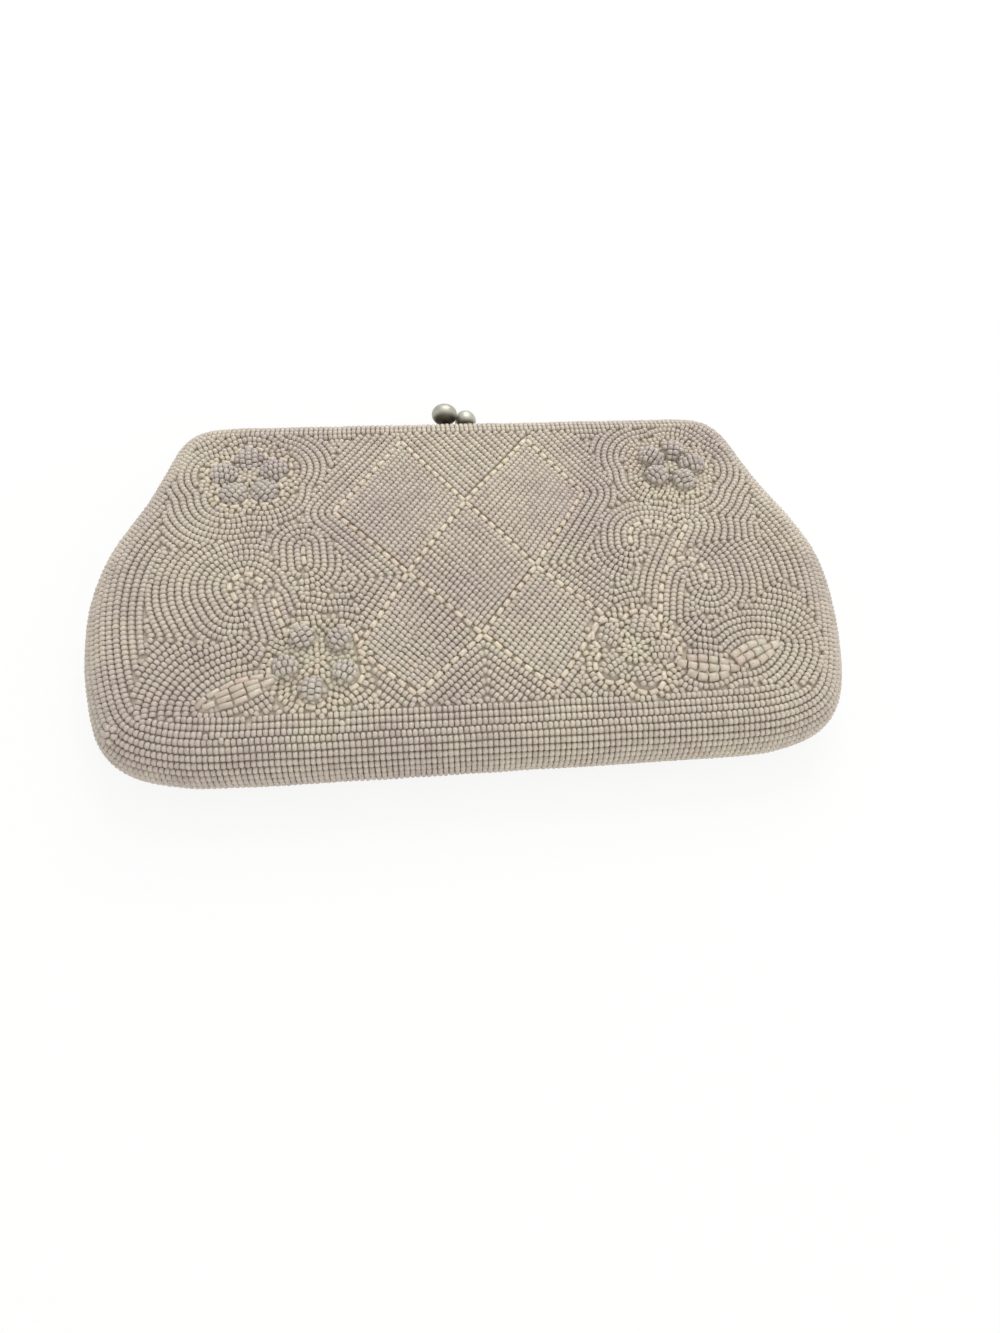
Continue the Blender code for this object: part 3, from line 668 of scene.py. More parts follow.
def flower_raise(flower, under=0.0):
    """Height over the bag's surface of a layer under a flower's face: five domes on a low mound."""
    centre, petals = petals_of(flower)
    sphere = petal_sphere(flower)

    def raised(places):
        middle = np.linalg.norm(places - centre, axis=1) / flower.ring
        height = MOUND_BASE * np.clip(1 - middle**2, 0, 1) - under
        for petal, _ in petals:
            away = np.linalg.norm(places - petal, axis=1)
            dome = np.sqrt(((sphere - under) ** 2 - away**2).clip(0)) - (sphere - flower.rise)
            height = np.maximum(height, dome)
        return height

    return raised


def leaf_line(leaf, side):
    """A line from a leaf's root to its tip, at a share of the way from its middle to its edge."""
    centre, angle = from_shares(leaf[:2]), math.radians(leaf.angle)
    line = []
    for share in np.linspace(0, 1, LINE_STEPS):
        half = leaf.width / 2 * math.sin(math.pi * share**LEAF_FULLNESS) ** LEAF_POINT
        bent = leaf.bend * (2 * share - 1) ** 2 - leaf.bend / 3
        line.append(centre + turned((share - 0.5) * leaf.length, side * half + bent, angle))
    return np.array(line)


def leaf_outline(leaf):
    """The two edges of a leaf, from its root round its tip and back."""
    return np.concatenate([leaf_line(leaf, 1)[1:-1], leaf_line(leaf, -1)[::-1]])


def leaf_raise(leaf, under=0.0):
    """Height of a leaf over the bag's surface, or of a layer under its face."""
    centre, angle = from_shares(leaf[:2]), math.radians(leaf.angle)

    def raised(places):
        local = places - centre
        along = local @ turned(1, 0, angle) / (leaf.length / 2)
        across = local @ turned(0, 1, angle) / (leaf.width / 2)
        return LEAF_HEIGHT * np.sqrt(np.clip(1 - along**2 - across**2, 0, 1)) - under

    return raised


def lattice_distance(places):
    return np.min([distance_to(np.array(edge), places) for edge in LATTICE_EDGES], axis=0)


def motif_distance(places):
    """Distance to the nearest motif of the front, from its edge."""
    away = [lattice_distance(places)]
    away += [distance_to(smooth_line(shares), places) for shares in STEMS]
    for flower in FLOWERS.values():
        for petal, _ in petals_of(flower)[1]:
            away.append(np.linalg.norm(places - petal, axis=1) - flower.radius - PETAL_ARC_ROOM)
    for leaf in LEAVES.values():
        outline = leaf_outline(leaf)
        edge = distance_to(closed(outline), places)
        away.append(np.where(inside_polygon(places, outline), -edge, edge) + BEAD_RADIUS)
    return np.min(away, axis=0)


# The beads in their places


def bugle_body(centre, way, length):
    """Points along a bugle, from which the other beads keep clear."""
    return [centre + way * length * share for share in BUGLE_BODY_SHARES]


def bugles_along(crowd, line):
    """Bugles end to end along a flat line on the front, for which the seed beads make room."""
    placed = row_over(FRONT, line, BUGLE_PITCH, BUGLE_RADIUS, even=True)
    for centre, way, _ in placed:
        for point in bugle_body(centre, way, BUGLE_LENGTH):
            crowd.add(point)
    return placed


def petal_rows(flower, petal, angle):
    """Rows of beads over one petal's dome, evenly apart on it, along the way it points."""
    sphere = petal_sphere(flower)
    core = sphere - BEAD_RADIUS
    reach = core * math.asin(flower.radius / sphere) - PETAL_BARE_EDGE
    turn = np.array([turned(1, 0, angle), turned(0, 1, angle)])
    count = int(2 * reach / PETAL_ROW_PITCH) + 1
    rows = []
    for k in range(count):
        across = (k - (count - 1) / 2) * PETAL_ROW_PITCH
        half = math.sqrt(reach**2 - across**2)
        line = straight(np.array((-half, across)), np.array((half, across)))
        flattened = sphere / core * np.sinc(np.linalg.norm(line, axis=1) / core / math.pi)
        points, normals = on_surface(FRONT, petal + line * flattened[:, None] @ turn, flower_raise(flower))
        rows += walk(points - normals * BEAD_RADIUS, normals, THREAD_PITCH)
    return rows


def petal_arc(flower, petal, angle):
    """The foot of the outer side of one petal."""
    arc = math.radians(flower.arc)
    turns = np.linspace(angle - arc / 2, angle + arc / 2, LINE_STEPS)
    return around(petal, flower.radius + PETAL_ARC_ROOM, turns)


def eye_ring(flower, radius, beads):
    """A ring of beads round a flower's eye."""
    line = around(petals_of(flower)[0], radius, np.linspace(0, 2 * math.pi, LINE_STEPS))
    pitch = 2 * math.pi * radius / beads
    return row_over(FRONT, line, pitch, raised=flower_raise(flower), even=True)


def flower_filling(crowd, flower):
    """Beads between a flower's petals, in rings round its eye."""
    centre, petals = petals_of(flower)
    turns = np.linspace(0, 2 * math.pi, 4 * LINE_STEPS)
    reach = EYE_RING_RADIUS + BEAD_RADIUS
    filled = []
    while reach < FLOWER_REACH:
        ring = around(centre, reach, turns)
        away = np.min([np.linalg.norm(ring - petal, axis=1) for petal, _ in petals], axis=0)
        for stretch in runs_where(away > flower.radius, ring):
            beads = row_over(FRONT, stretch, FILL_PITCH, raised=flower_raise(flower))
            filled += crowd.admit(beads, EMPTY_GAP)
        reach += FILL_PITCH
    return filled


def flower_beads(crowd, flower):
    """A flower's beads by their kind."""
    petals = petals_of(flower)[1]
    arcs, seeds = [], []
    for petal, angle in petals:
        arcs += bugles_along(crowd, petal_arc(flower, petal, angle))
    eye = eye_ring(flower, SLIVER, 1) + eye_ring(flower, EYE_RING_RADIUS, EYE_BEADS)
    eye = crowd.admit(eye, EYE_GAP)
    for petal, angle in petals:
        seeds += crowd.admit(petal_rows(flower, petal, angle))
    return {"beads": seeds, "filling": flower_filling(crowd, flower), "bugles": arcs, "eye": eye}


def knot_beads(crowd):
    """The small knot of beads that stands up at the bottom left corner: a bead over a ring of beads."""
    placed = []
    for radius, beads, height in KNOT_RINGS:
        line = around(from_shares(KNOT_PLACE), radius, np.linspace(0, 2 * math.pi, LINE_STEPS))
        points, normals = on_surface(FRONT, line)
        lifted = points + normals * (height - BEAD_RADIUS)
        placed += walk(lifted, normals, 2 * math.pi * radius / beads, even=True)
    return crowd.admit(placed, EYE_GAP)


def leaf_beads(crowd, leaf):
    """Bugles of one leaf in rows along it."""
    placed = []
    for side in sorted(((2 * k + 1 - leaf.rows) / leaf.rows for k in range(leaf.rows)), key=abs):
        pitch = leaf.bugle_length + LEAF_BUGLE_GAP
        row = row_over(FRONT, leaf_line(leaf, side), pitch, leaf.bugle_radius, leaf_raise(leaf))
        bodies = [bugle_body(centre, way, leaf.bugle_length) for centre, way, _ in row]
        room = LEAF_CROWDING_SHARE * leaf.bugle_radius
        clear = [min(crowd.nearest(point) for point in body) > room for body in bodies]
        for bugle, body, free in zip(row, bodies, clear):
            if free:
                placed.append(bugle)
                for point in body:
                    crowd.add(point)
    return placed


def neck_line(name):
    """From the foot of a clasp neck to its ball's centre."""
    neck_low, neck_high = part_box(name + "_neck")
    ball_low, ball_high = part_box(name + "_ball")
    ball = (ball_low + ball_high) / 2
    foot_z = neck_low.z + NECK_RADIUS if name == "back_clasp" else neck_high.z - NECK_RADIUS
    return Vector((ball.x, neck_low.y, foot_z)), ball


NECKS = [neck_line(name) for name in ("back_clasp", "front_clasp")]


def clear_of_necks(beads):
    kept = []
    for bead in beads:
        away = math.inf
        for foot, ball in NECKS:
            share = min(max((Vector(bead[0]) - foot).dot(ball - foot) / (ball - foot).length_squared, 0), 1)
            away = min(away, (Vector(bead[0]) - foot.lerp(ball, share)).length)
        if away > NECK_RADIUS + BEAD_RADIUS * NECK_ROOM_SHARE:
            kept.append(bead)
    return kept


def rim_rows(crowd, side):
    """The closed rows that go round the bag's edge."""
    rows = []
    for k in range(EDGE_ROWS):
        points, normals = edge_row(side, (k + 0.5) * EDGE_ROW_PITCH)
        row = sunk(walk(closed(points), closed(normals), THREAD_PITCH, even=True))
        rows += crowd.admit(clear_of_necks(row))
    return rows


def clear_of_lattice(places):
    return lattice_distance(places) > LATTICE_ROOM


def diamond_rows(crowd):
    rows = []
    for names in DIAMONDS:
        p, q, r, s = lattice_corners(names)
        lines = ruled_rows(FRONT, (p, q), (s, r), clear_of_lattice, DIAMOND_ROW_PITCH, LATTICE_MARGIN)
        rows += crowd.admit(lines)
    return rows


def top_triangle():
    """The field between the two top points of the lattice, up to the rim rows."""
    left, low, right = lattice_corners("a0 b1 a1")
    top = TOP_Y - TOP_BAND_SHARE * BODY_HEIGHT
    return left, low, right, np.array([left, low, right, (right[0], top), (left[0], top)])


def triangle_rows(crowd):
    left, low, right, field = top_triangle()

    def keep(places):
        return inside_polygon(places, field) & clear_of_lattice(places)

    rise = (left - low) * (field[3][1] - low[1]) / (left[1] - low[1])
    last = (low + right - left, low + rise + right - left)
    return crowd.admit(ruled_rows(FRONT, (low, low + rise), last, keep, ROW_PITCH))


def in_ruled_fields(places):
    inside = inside_polygon(places, top_triangle()[3])
    for names in DIAMONDS:
        inside |= inside_polygon(places, np.array(lattice_corners(names)))
    return inside


def outline_rows(crowd, side, arcs, keep):
    """Rows that follow the outline further in than the rim rows."""
    count = int(arcs.max() / EDGE_ROW_PITCH)
    levels = [(k + 0.5) * EDGE_ROW_PITCH for k in range(EDGE_ROWS, count)]
    return crowd.admit(contour_rows(side, arcs, levels, keep))


def gap_fill(crowd, side, field):
    """Single beads where the rows leave a gap, turned along the rows beside them."""
    step = EMPTY_GAP * FILL_STEP_SHARE
    x = np.arange(-HALF_WIDTH, HALF_WIDTH, step)
    y = np.arange(BOTTOM_Y, TOP_Y, step)
    places = np.column_stack([values.ravel() for values in np.meshgrid(x, y)])
    places = places[sample(GRID_DEPTHS, places) > EMPTY_GAP]
    places = crowd.empty_places(side, places)
    slope = np.stack(changes(lambda at: sample(field, at), places, CELL), axis=1)
    beads = []
    for point, normal, (across, up) in zip(*on_surface(side, places), slope):
        way = np.array((-up, across, 0))
        way -= normal * (way @ normal)
        if np.linalg.norm(way) > 0:
            beads.append((point, way / np.linalg.norm(way), normal))
    return crowd.admit(sunk(beads), EMPTY_GAP)


def front_motifs(crowd):
    """The beads of the lattice's lines, stems, leaves, flowers and knot by their kind."""
    found = {"lattice_bugles": [], "stem_bugles": []}
    for a, b in LATTICE_EDGES:
        found["lattice_bugles"] += bugles_along(crowd, straight(a, b))
    for shares in STEMS:
        found["stem_bugles"] += bugles_along(crowd, smooth_line(shares))
    for name, leaf in LEAVES.items():
        found[name + "_bugles"] = leaf_beads(crowd, leaf)
    for name, flower in FLOWERS.items():
        for kind, beads in flower_beads(crowd, flower).items():
            found[f"{name}_{kind}"] = beads
    found["front_knot_beads"] = knot_beads(crowd)
    return found


def front_layout():
    """Every bead of the front by its kind and its place in the design."""
    crowd = Crowd()
    arcs = edge_arc(FRONT, GRID_PLACES, GRID_DEPTHS)
    motifs = motif_distance(GRID_PLACES)
    band = TOP_Y - BAND_TOP_SHARE * BODY_HEIGHT

    def by_outline(places):
        near_rim = sample(arcs, places) < sample(motifs, places) * OUTLINE_REACH
        clear = ~in_ruled_fields(places) & (sample(motifs, places) > MOTIF_ROOM)
        return (near_rim | (places[:, 1] < band)) & clear

    def by_motif(places):
        return ~by_outline(places) & ~in_ruled_fields(places) & (sample(motifs, places) > 0)

    found = front_motifs(crowd)
    found["front_rim_beads"] = rim_rows(crowd, FRONT)
    found["lattice_beads"] = diamond_rows(crowd) + triangle_rows(crowd)
    found["front_outline_beads"] = outline_rows(crowd, FRONT, arcs, by_outline)
    levels = np.arange(MOTIF_ROOM, motifs.max(), ROW_PITCH)
    found["front_ground_beads"] = crowd.admit(contour_rows(FRONT, motifs, levels, by_motif))
    found["front_filling_beads"] = gap_fill(crowd, FRONT, np.minimum(arcs, motifs))
    return found


def back_layout():
    """Every bead of the back: rows round the edge, then level rows."""
    crowd = Crowd()
    arcs = edge_arc(BACK, GRID_PLACES, GRID_DEPTHS)
    border = (EDGE_ROWS + BACK_BORDER_ROWS) * EDGE_ROW_PITCH

    def by_outline(places):
        return sample(arcs, places) < border

    def level(places):
        return (sample(arcs, places) > border + ROW_PITCH / 4) & (sample(GRID_DEPTHS, places) > 0)

    found = {"back_rim_beads": rim_rows(crowd, BACK)}
    found["back_outline_beads"] = outline_rows(crowd, BACK, arcs, by_outline)
    corners = [((-HALF_WIDTH, y), (HALF_WIDTH, y)) for y in (TOP_Y, BOTTOM_Y)]
    found["back_row_beads"] = crowd.admit(ruled_rows(BACK, *corners, level, ROW_PITCH))
    found["back_filling_beads"] = gap_fill(crowd, BACK, GRID_PLACES[:, 1])
    return found


# Meshes


def turned_shape(profile, sides):
    """A closed shape of unit length and radius, turned about X: its points, faces and a map of each face."""
    points = [(profile[0][0], 0, 0)]
    for along, radius in profile[1:-1]:
        for k in range(sides):
            angle = 2 * math.pi * k / sides
            points.append((along, radius * math.cos(angle), radius * math.sin(angle)))
    points.append((profile[-1][0], 0, 0))
    bands = len(profile) - 1
    faces, maps = [], []
    for ring in range(1, bands - 1):
        low = 1 + (ring - 1) * sides
        high = low + sides
        for k in range(sides):
            after = (k + 1) % sides
            faces.append((low + k, high + k, high + after, low + after))
            maps.append([((k + u) / sides, (ring + v) / bands) for u, v in ((0, 0), (0, 1), (1, 1), (1, 0))])
    last = 1 + (bands - 2) * sides
    for k in range(sides):
        after = (k + 1) % sides
        faces.append((0, 1 + k, 1 + after))
        maps.append([((k + u) / sides, v / bands) for u, v in ((0.5, 0), (0, 1), (1, 1))])
        faces.append((last + sides, last + after, last + k))
        maps.append([((k + u) / sides, 1 - v / bands) for u, v in ((0.5, 0), (1, 1), (0, 1))])
    return np.array(points, float), faces, maps


def linked(name, data):
    obj = bpy.data.objects.new(name, data)
    bpy.context.collection.objects.link(obj)
    return obj


def mesh_of(name, points, faces, smooth=True):
    mesh = bpy.data.meshes.new(name)
    mesh.from_pydata([tuple(point) for point in points], [], [tuple(int(i) for i in face) for face in faces])
    mesh.polygons.foreach_set("use_smooth", np.full(len(mesh.polygons), smooth))
    mesh.update()
    return linked(name, mesh)


def repeated_mesh(name, points, faces, maps):
    """One mesh of many copies of a shape: points are given by copy, faces and their map once."""
    count, size = points.shape[:2]
    corners = np.array([i for face in faces for i in face])
    starts = np.cumsum([0] + [len(face) for face in faces[:-1]])
    mesh = bpy.data.meshes.new(name)
    mesh.vertices.add(count * size)
    mesh.loops.add(count * len(corners))
    mesh.polygons.add(count * len(faces))
    mesh.vertices.foreach_set("co", points.astype(np.float32).ravel())
    copies = np.arange(count)[:, None]
    mesh.loops.foreach_set("vertex_index", (copies * size + corners).astype(np.int32).ravel())
    mesh.polygons.foreach_set("loop_start", (copies * len(corners) + starts).astype(np.int32).ravel())
    mesh.polygons.foreach_set("use_smooth", np.ones(count * len(faces), bool))
    across = math.ceil(math.sqrt(count))
    cells = np.stack(np.divmod(np.arange(count), across), axis=1)[:, None]
    inner = np.array([uv for face in maps for uv in face]) * (1 - 2 * MAP_MARGIN) + MAP_MARGIN
    layer = mesh.uv_layers.new(name="OFBake")
    layer.data.foreach_set("uv", ((cells + inner) / across).astype(np.float32).ravel())
    mesh.update(calc_edges=True)
    return linked(name, mesh)


def bead_axes(beads, rng):
    """Each bead's three axes, a little tilted as hand-sewn beads are."""
    ways = np.array([bead[1] for bead in beads])
    ups = np.array([bead[2] for bead in beads])
    sides = unit(np.cross(ups, ways))
    ups = np.cross(ways, sides)
    yaw, pitch = rng.normal(0, BEAD_TILT, (2, len(beads), 1))
    ways = unit(ways + sides * yaw + ups * pitch)
    sides = unit(np.cross(ups, ways))
    return np.stack([ways, sides, np.cross(ways, sides)], axis=1)


def wandered(centres):
    """Rows a little out of line, as sewn by hand: all beads of a place shift together."""
    noise.seed_set(ROW_WANDER_SEED)
    shifts = [noise.noise_vector(Vector(centre) / ROW_WANDER_REACH) for centre in centres]
    return centres + np.array(shifts) * (ROW_WANDER, ROW_WANDER, ROW_WANDER_UP)


def strung(name, beads, profile, sides, length, radius, seed):
    """One mesh of many beads, each closed, with its own tone and its own part of the map."""
    shape, faces, maps = turned_shape(profile, sides)
    rng = np.random.default_rng(seed)
    axes = bead_axes(beads, rng)
    centres = wandered(np.array([bead[0] for bead in beads]))
    limit = 2 * BEAD_SIZE_SPREAD
    sizes = 1 + rng.normal(0, BEAD_SIZE_SPREAD, (len(beads), 2)).clip(-limit, limit)
    scale = np.stack([sizes[:, 0] * length / 2, *[sizes[:, 1] * radius] * 2], axis=1)
    points = centres[:, None] + np.einsum("bvk,bkx->bvx", shape[None] * scale[:, None], axes)
    obj = repeated_mesh(name, points, faces, maps)
    tone = obj.data.attributes.new("tone", "FLOAT", "POINT")
    tone.data.foreach_set("value", np.repeat(rng.random(len(beads)), len(shape)).astype(np.float32))
    return obj


def grid_faces(index):
    for i in range(index.shape[0] - 1):
        for j in range(index.shape[1] - 1):
            yield index[i, j], index[i, j + 1], index[i + 1, j + 1], index[i + 1, j]


def shell(name, outer, inner, flipped):
    """A thin closed shell between two grids of points; flipped turns its faces over."""
    rows, columns = outer.shape[:2]
    points = np.concatenate([outer.reshape(-1, 3), inner.reshape(-1, 3)])
    index = np.arange(len(points)).reshape(2, rows, columns)
    faces = list(grid_faces(index[0])) + [face[::-1] for face in grid_faces(index[1])]
    for strip in (index[:, 0], index[:, :, -1], index[:, -1, ::-1], index[:, ::-1, 0]):
        for k in range(strip.shape[1] - 1):
            faces.append((strip[0, k + 1], strip[0, k], strip[1, k], strip[1, k + 1]))
    return mesh_of(name, points, [face[::-1] for face in faces] if flipped else faces)


def bowl_grid(side, inset, depth, low, high):
    """Points of a layer in rows from the bottom to the top and columns across."""
    bottom = BOTTOM_Y + inset if low is None else low
    top = TOP_Y - inset if high is None else high
    share = np.linspace(0, 1, BOWL_ROWS)
    rows = bottom + (top - bottom) * (1 - np.cos(math.pi * share)) / 2
    columns = np.sin(math.pi / 2 * np.linspace(-1, 1, BOWL_COLUMNS))
    inner = half_width(rows.clip(BOTTOM_Y + inset + SLIVER, TOP_Y - inset - SLIVER), inset)
    level = np.broadcast_to(rows[:, None], (BOWL_ROWS, BOWL_COLUMNS))
    flat = np.stack([inner[:, None] * columns, level], axis=2).reshape(-1, 2)
    height = surface_z(side, flat, inset, depth)
    return np.column_stack([flat, height]).reshape(BOWL_ROWS, BOWL_COLUMNS, 3)


def bowl(name, side, depth, wall, inset, low=None, high=None):
    """A thin closed shell that lies under the bag's surface, as one half of a pouch."""
    outer = bowl_grid(side, inset, depth, low, high)
    inner = bowl_grid(side, inset + wall, depth + wall, low, high)
    return shell(name, outer, inner, flipped=side == BACK)


def band_faces(low, high, count):
    """Faces between two rings of points, given by the first index of each."""
    for k in range(count):
        after = (k + 1) % count
        yield low + k, low + after, high + after, high + k


def mound_faces(first, count):
    """Faces of one layer of a mound, from its outer ring to its middle."""
    for ring in range(MOUND_RINGS - 1):
        yield from band_faces(first + ring * count, first + (ring + 1) * count, count)
    last = first + (MOUND_RINGS - 1) * count
    for k in range(count):
        yield last + k, last + (k + 1) % count, last + count


def mound(name, outline, raised):
    """Padding under raised beadwork: a closed mound on the front, from its outline to its middle."""
    middle = outline.mean(axis=0)
    shares = np.linspace(1, 0, MOUND_RINGS, endpoint=False)
    places = np.concatenate([middle + (outline - middle) * share for share in shares] + [middle[None]])
    top, _ = on_surface(FRONT, places, raised)
    floor, _ = on_surface(FRONT, places)
    base = floor - (0, 0, CLOTH_DEPTH + CLOTH_WALL / 2)
    count = len(outline)
    top[:count] = floor[:count] - (0, 0, CLOTH_DEPTH)
    top[:, 2] = np.maximum(top[:, 2], base[:, 2] + MOUND_WALL)
    under = len(places)
    faces = list(mound_faces(0, count)) + [face[::-1] for face in mound_faces(under, count)]
    for k in range(count):
        faces.append((k, under + k, under + (k + 1) % count, (k + 1) % count))
    return mesh_of(name, np.concatenate([top, base]), faces)


def tube(name, line, radius, sides):
    """A closed round tube along a line of points."""
    points, faces = [], []
    for centre, way in zip(line, np.gradient(line, axis=0)):
        way = Vector(way).normalized()
        side = way.cross(Vector((0, 0, 1))).normalized()
        up = side.cross(way)
        for k in range(sides):
            angle = 2 * math.pi * k / sides
            points.append(Vector(centre) + (side * math.cos(angle) + up * math.sin(angle)) * radius)
    for ring in range(len(line) - 1):
        faces += band_faces(ring * sides, (ring + 1) * sides, sides)
    faces.append(list(range(sides))[::-1])
    faces.append([(len(line) - 1) * sides + k for k in range(sides)])
    return mesh_of(name, points, faces)


def lathe(name, foot, way, profile, sides):
    """A closed round shape about a line: the profile gives heights along it and radii."""
    turn = Vector(way).to_track_quat("X", "Z").to_matrix()
    shape, faces, _ = turned_shape(profile, sides)
    return mesh_of(name, [Vector(foot) + turn @ Vector(point) for point in shape], faces)


# Materials: noise as scale and detail, shades as they look on the screen, relief as depth and strength
TONE_STOPS = (0.0, 0.3, 0.6, 0.85, 1.0)
TINT_NOISE = (38, 3)
TINT_STOPS = [(0.35, (236, 230, 230)), (0.65, (255, 254, 246))]
TINT_SHARE = 0.8
SPECK_NOISE = (900, 1)
SPECK_STOPS = [(0.35, (240, 237, 234)), (0.7, (255, 255, 255))]
SPECK_SHARE = 0.5
WEAR_NOISE = (60, 4)
WEAVE_SHARE = 0.35
WEAVE_RELIEF = (0.00005, 0.5)
PATCH_STOPS = (0.3, 0.5, 0.7)
PATCH_DETAIL = 6
DULLNESS_FINENESS = 2
DULLNESS_DETAIL = 4
SCRATCH_FINENESS = 12
SCRATCH_DETAIL = 3
SCRATCH_RELIEF = (0.00002, 0.3)

# Glass of the beads: what all kinds share, then the shades of the five tones and the roughness of each kind
GLASS_SOCKETS = {
    "Coat_Weight": 0.15, "Coat_Roughness": 0.25, "Specular_IOR_Level": 0.5,
    "Subsurface_Weight": 0.8, "Subsurface_Radius": (1, 1, 1), "Subsurface_Scale": BEAD_RADIUS,
}
GLASS_SHADES = {
    "seed": ((190, 181, 170), (198, 189, 179), (203, 195, 184), (198, 192, 179), (206, 196, 182), 0.32),
    "petal": ((182, 173, 167), (190, 182, 176), (198, 191, 185), (192, 188, 179), (202, 192, 181), 0.26),
    "bugle": ((210, 199, 184), (216, 205, 190), (222, 213, 198), (214, 207, 189), (222, 208, 191), 0.28),
    "leaf": ((200, 188, 174), (208, 197, 184), (214, 205, 191), (203, 199, 180), (212, 196, 183), 0.28),
    "eye": ((195, 186, 170), (201, 192, 177), (207, 199, 184), (200, 196, 178), (208, 198, 181), 0.32),
}

# Woven cloths: light and dark shade, threads, roughness and sheen
CLOTH_SHADES = {
    "gold_thread": ((196, 184, 156), (176, 161, 128), 2600, 0.55, 0.0),
    "ground_cloth": ((206, 196, 180), (192, 180, 162), 1900, 0.85, 0.0),
    "satin": ((226, 216, 198), (214, 202, 182), 2400, 0.38, 0.3),
    "buckram": ((214, 204, 184), (196, 184, 160), 900, 0.9, 0.0),
}

# Metals: shades of their patches, lowest and highest roughness, and the scale of the patches
NICKEL_LOOK = (((150, 146, 138), (176, 172, 164), (190, 186, 178)), (0.3, 0.45), 90)
OLD_SILVER_LOOK = (((150, 146, 136), (176, 174, 162), (194, 193, 181)), (0.42, 0.55), 160)
# Painted shade on the clasp balls: the shares of a ball's height on Y over which its painted dark lower side
# fades into the metal, and the colour of that painted shade
PAINTED_SHADE_SHARES = (0.12, 0.36)
PAINTED_SHADE_COLOUR = (84, 78, 69)


def linear(shade):
    """The linear colour of one given as it looks on the screen, 0 to 255."""
    return [((v / 255 + 0.055) / 1.055) ** 2.4 if v > 10 else v / 255 / 12.92 for v in shade] + [1]


class Nodes:
    """The nodes of a material or of the world, joined one after another."""

    def __init__(self, owner):
        owner.use_nodes = True
        self.nodes = owner.node_tree.nodes
        self.links = owner.node_tree.links

    def join(self, value, socket):
        if isinstance(value, bpy.types.NodeSocket):
            self.links.new(value, socket)
        else:
            socket.default_value = value

    def add(self, kind, inputs=(), **settings):
        """The outputs of a new node, after its settings are made and its inputs are set or joined."""
        node = self.nodes.new("ShaderNode" + kind)
        for setting, value in settings.items():
            setattr(node, setting, value)
        for socket, value in dict(inputs).items():
            self.join(value, node.inputs[socket])
        return node.outputs

    def times(self, first, second):
        return self.add("Math", {0: first, 1: second}, operation="MULTIPLY")[0]


class Finish(Nodes):
    """A material on one Principled shader."""

    def __init__(self, name, **sockets):
        self.material = bpy.data.materials.new(name)
        super().__init__(self.material)
        self.shader = self.nodes["Principled BSDF"]
        self.set(**sockets)
        self.place = self.add("TexCoord")["Object"]

    def set(self, **sockets):
        for socket, value in sockets.items():
            self.join(value, self.shader.inputs[socket.replace("_", " ")])

    def noise(self, scale, detail):
        return self.add("TexNoise", {"Vector": self.place, "Scale": scale, "Detail": detail})["Fac"]

    def waves(self, scale, direction):
        return self.add("TexWave", {"Vector": self.place, "Scale": scale}, bands_direction=direction)["Fac"]

    def ramp(self, value, stops):
        node = self.nodes.new("ShaderNodeValToRGB")
        elements = node.color_ramp.elements
        while len(elements) < len(stops):
            elements.new(0.5)
        for element, (at, shade) in zip(elements, stops):
            element.position = at
            element.color = linear(shade)
        self.join(value, node.inputs["Fac"])
        return node.outputs["Color"]

    def mix(self, share, first, second, kind="MIX"):
        return self.add("Mix", {0: share, 6: first, 7: second}, data_type="RGBA", blend_type=kind)[2]

    def relief(self, value, distance, strength):
        inputs = {"Distance": distance, "Strength": strength, "Height": value}
        self.set(Normal=self.add("Bump", inputs)["Normal"])


def bead_finish(name, *look):
    """Pearly glass: a tone for each bead, with slow changes over the bag."""
    *shades, roughness = look
    finish = Finish(name, Roughness=roughness, **GLASS_SOCKETS)
    tone = finish.add("Attribute", attribute_name="tone")["Fac"]
    colour = finish.ramp(tone, list(zip(TONE_STOPS, shades)))
    colour = finish.mix(TINT_SHARE, colour, finish.ramp(finish.noise(*TINT_NOISE), TINT_STOPS), "MULTIPLY")
    specks = finish.ramp(finish.noise(*SPECK_NOISE), SPECK_STOPS)
    finish.set(Base_Color=finish.mix(SPECK_SHARE, colour, specks, "MULTIPLY"))
    return finish.material


def cloth_finish(name, light, dark, threads, roughness, sheen):
    """Woven cloth: warp and weft in relief."""
    finish = Finish(name, Roughness=roughness, Sheen_Weight=sheen)
    weave = finish.times(finish.waves(threads, "X"), finish.waves(threads, "Y"))
    worn = finish.mix(finish.noise(*WEAR_NOISE), linear(dark), linear(light))
    finish.set(Base_Color=finish.mix(finish.times(weave, WEAVE_SHARE), worn, linear(light)))
    finish.relief(weave, *WEAVE_RELIEF)
    return finish.material


def metal_finish(name, shades, roughness, patches, painted_shade=None):
    """Plated metal, dulled in patches; its last argument, if given, is the two heights on Y between which a
    painted shade on its lower side fades and it brightens.
    """
    finish = Finish(name, Roughness=roughness[0], Metallic=1.0)
    colour = finish.ramp(finish.noise(patches, PATCH_DETAIL), list(zip(PATCH_STOPS, shades)))
    # Painted shade: low on Y, the side towards the neck, the metal is darkened to the painted shade colour,
    # as the ball's lower side looks in shadow
    if painted_shade is not None:
        along_y = finish.add("SeparateXYZ", {0: finish.place})[1]
        inputs = {"From Min": painted_shade[0], "From Max": painted_shade[1], "Value": along_y}
        bright = finish.add("MapRange", inputs, interpolation_type="SMOOTHSTEP")[0]
        colour = finish.mix(bright, linear(PAINTED_SHADE_COLOUR), colour)
    dullness = finish.noise(patches * DULLNESS_FINENESS, DULLNESS_DETAIL)
    inputs = {"To Min": roughness[0], "To Max": roughness[1], "Value": dullness}
    finish.set(Base_Color=colour, Roughness=finish.add("MapRange", inputs)[0])
    finish.relief(finish.noise(patches * SCRATCH_FINENESS, SCRATCH_DETAIL), *SCRATCH_RELIEF)
    return finish.material


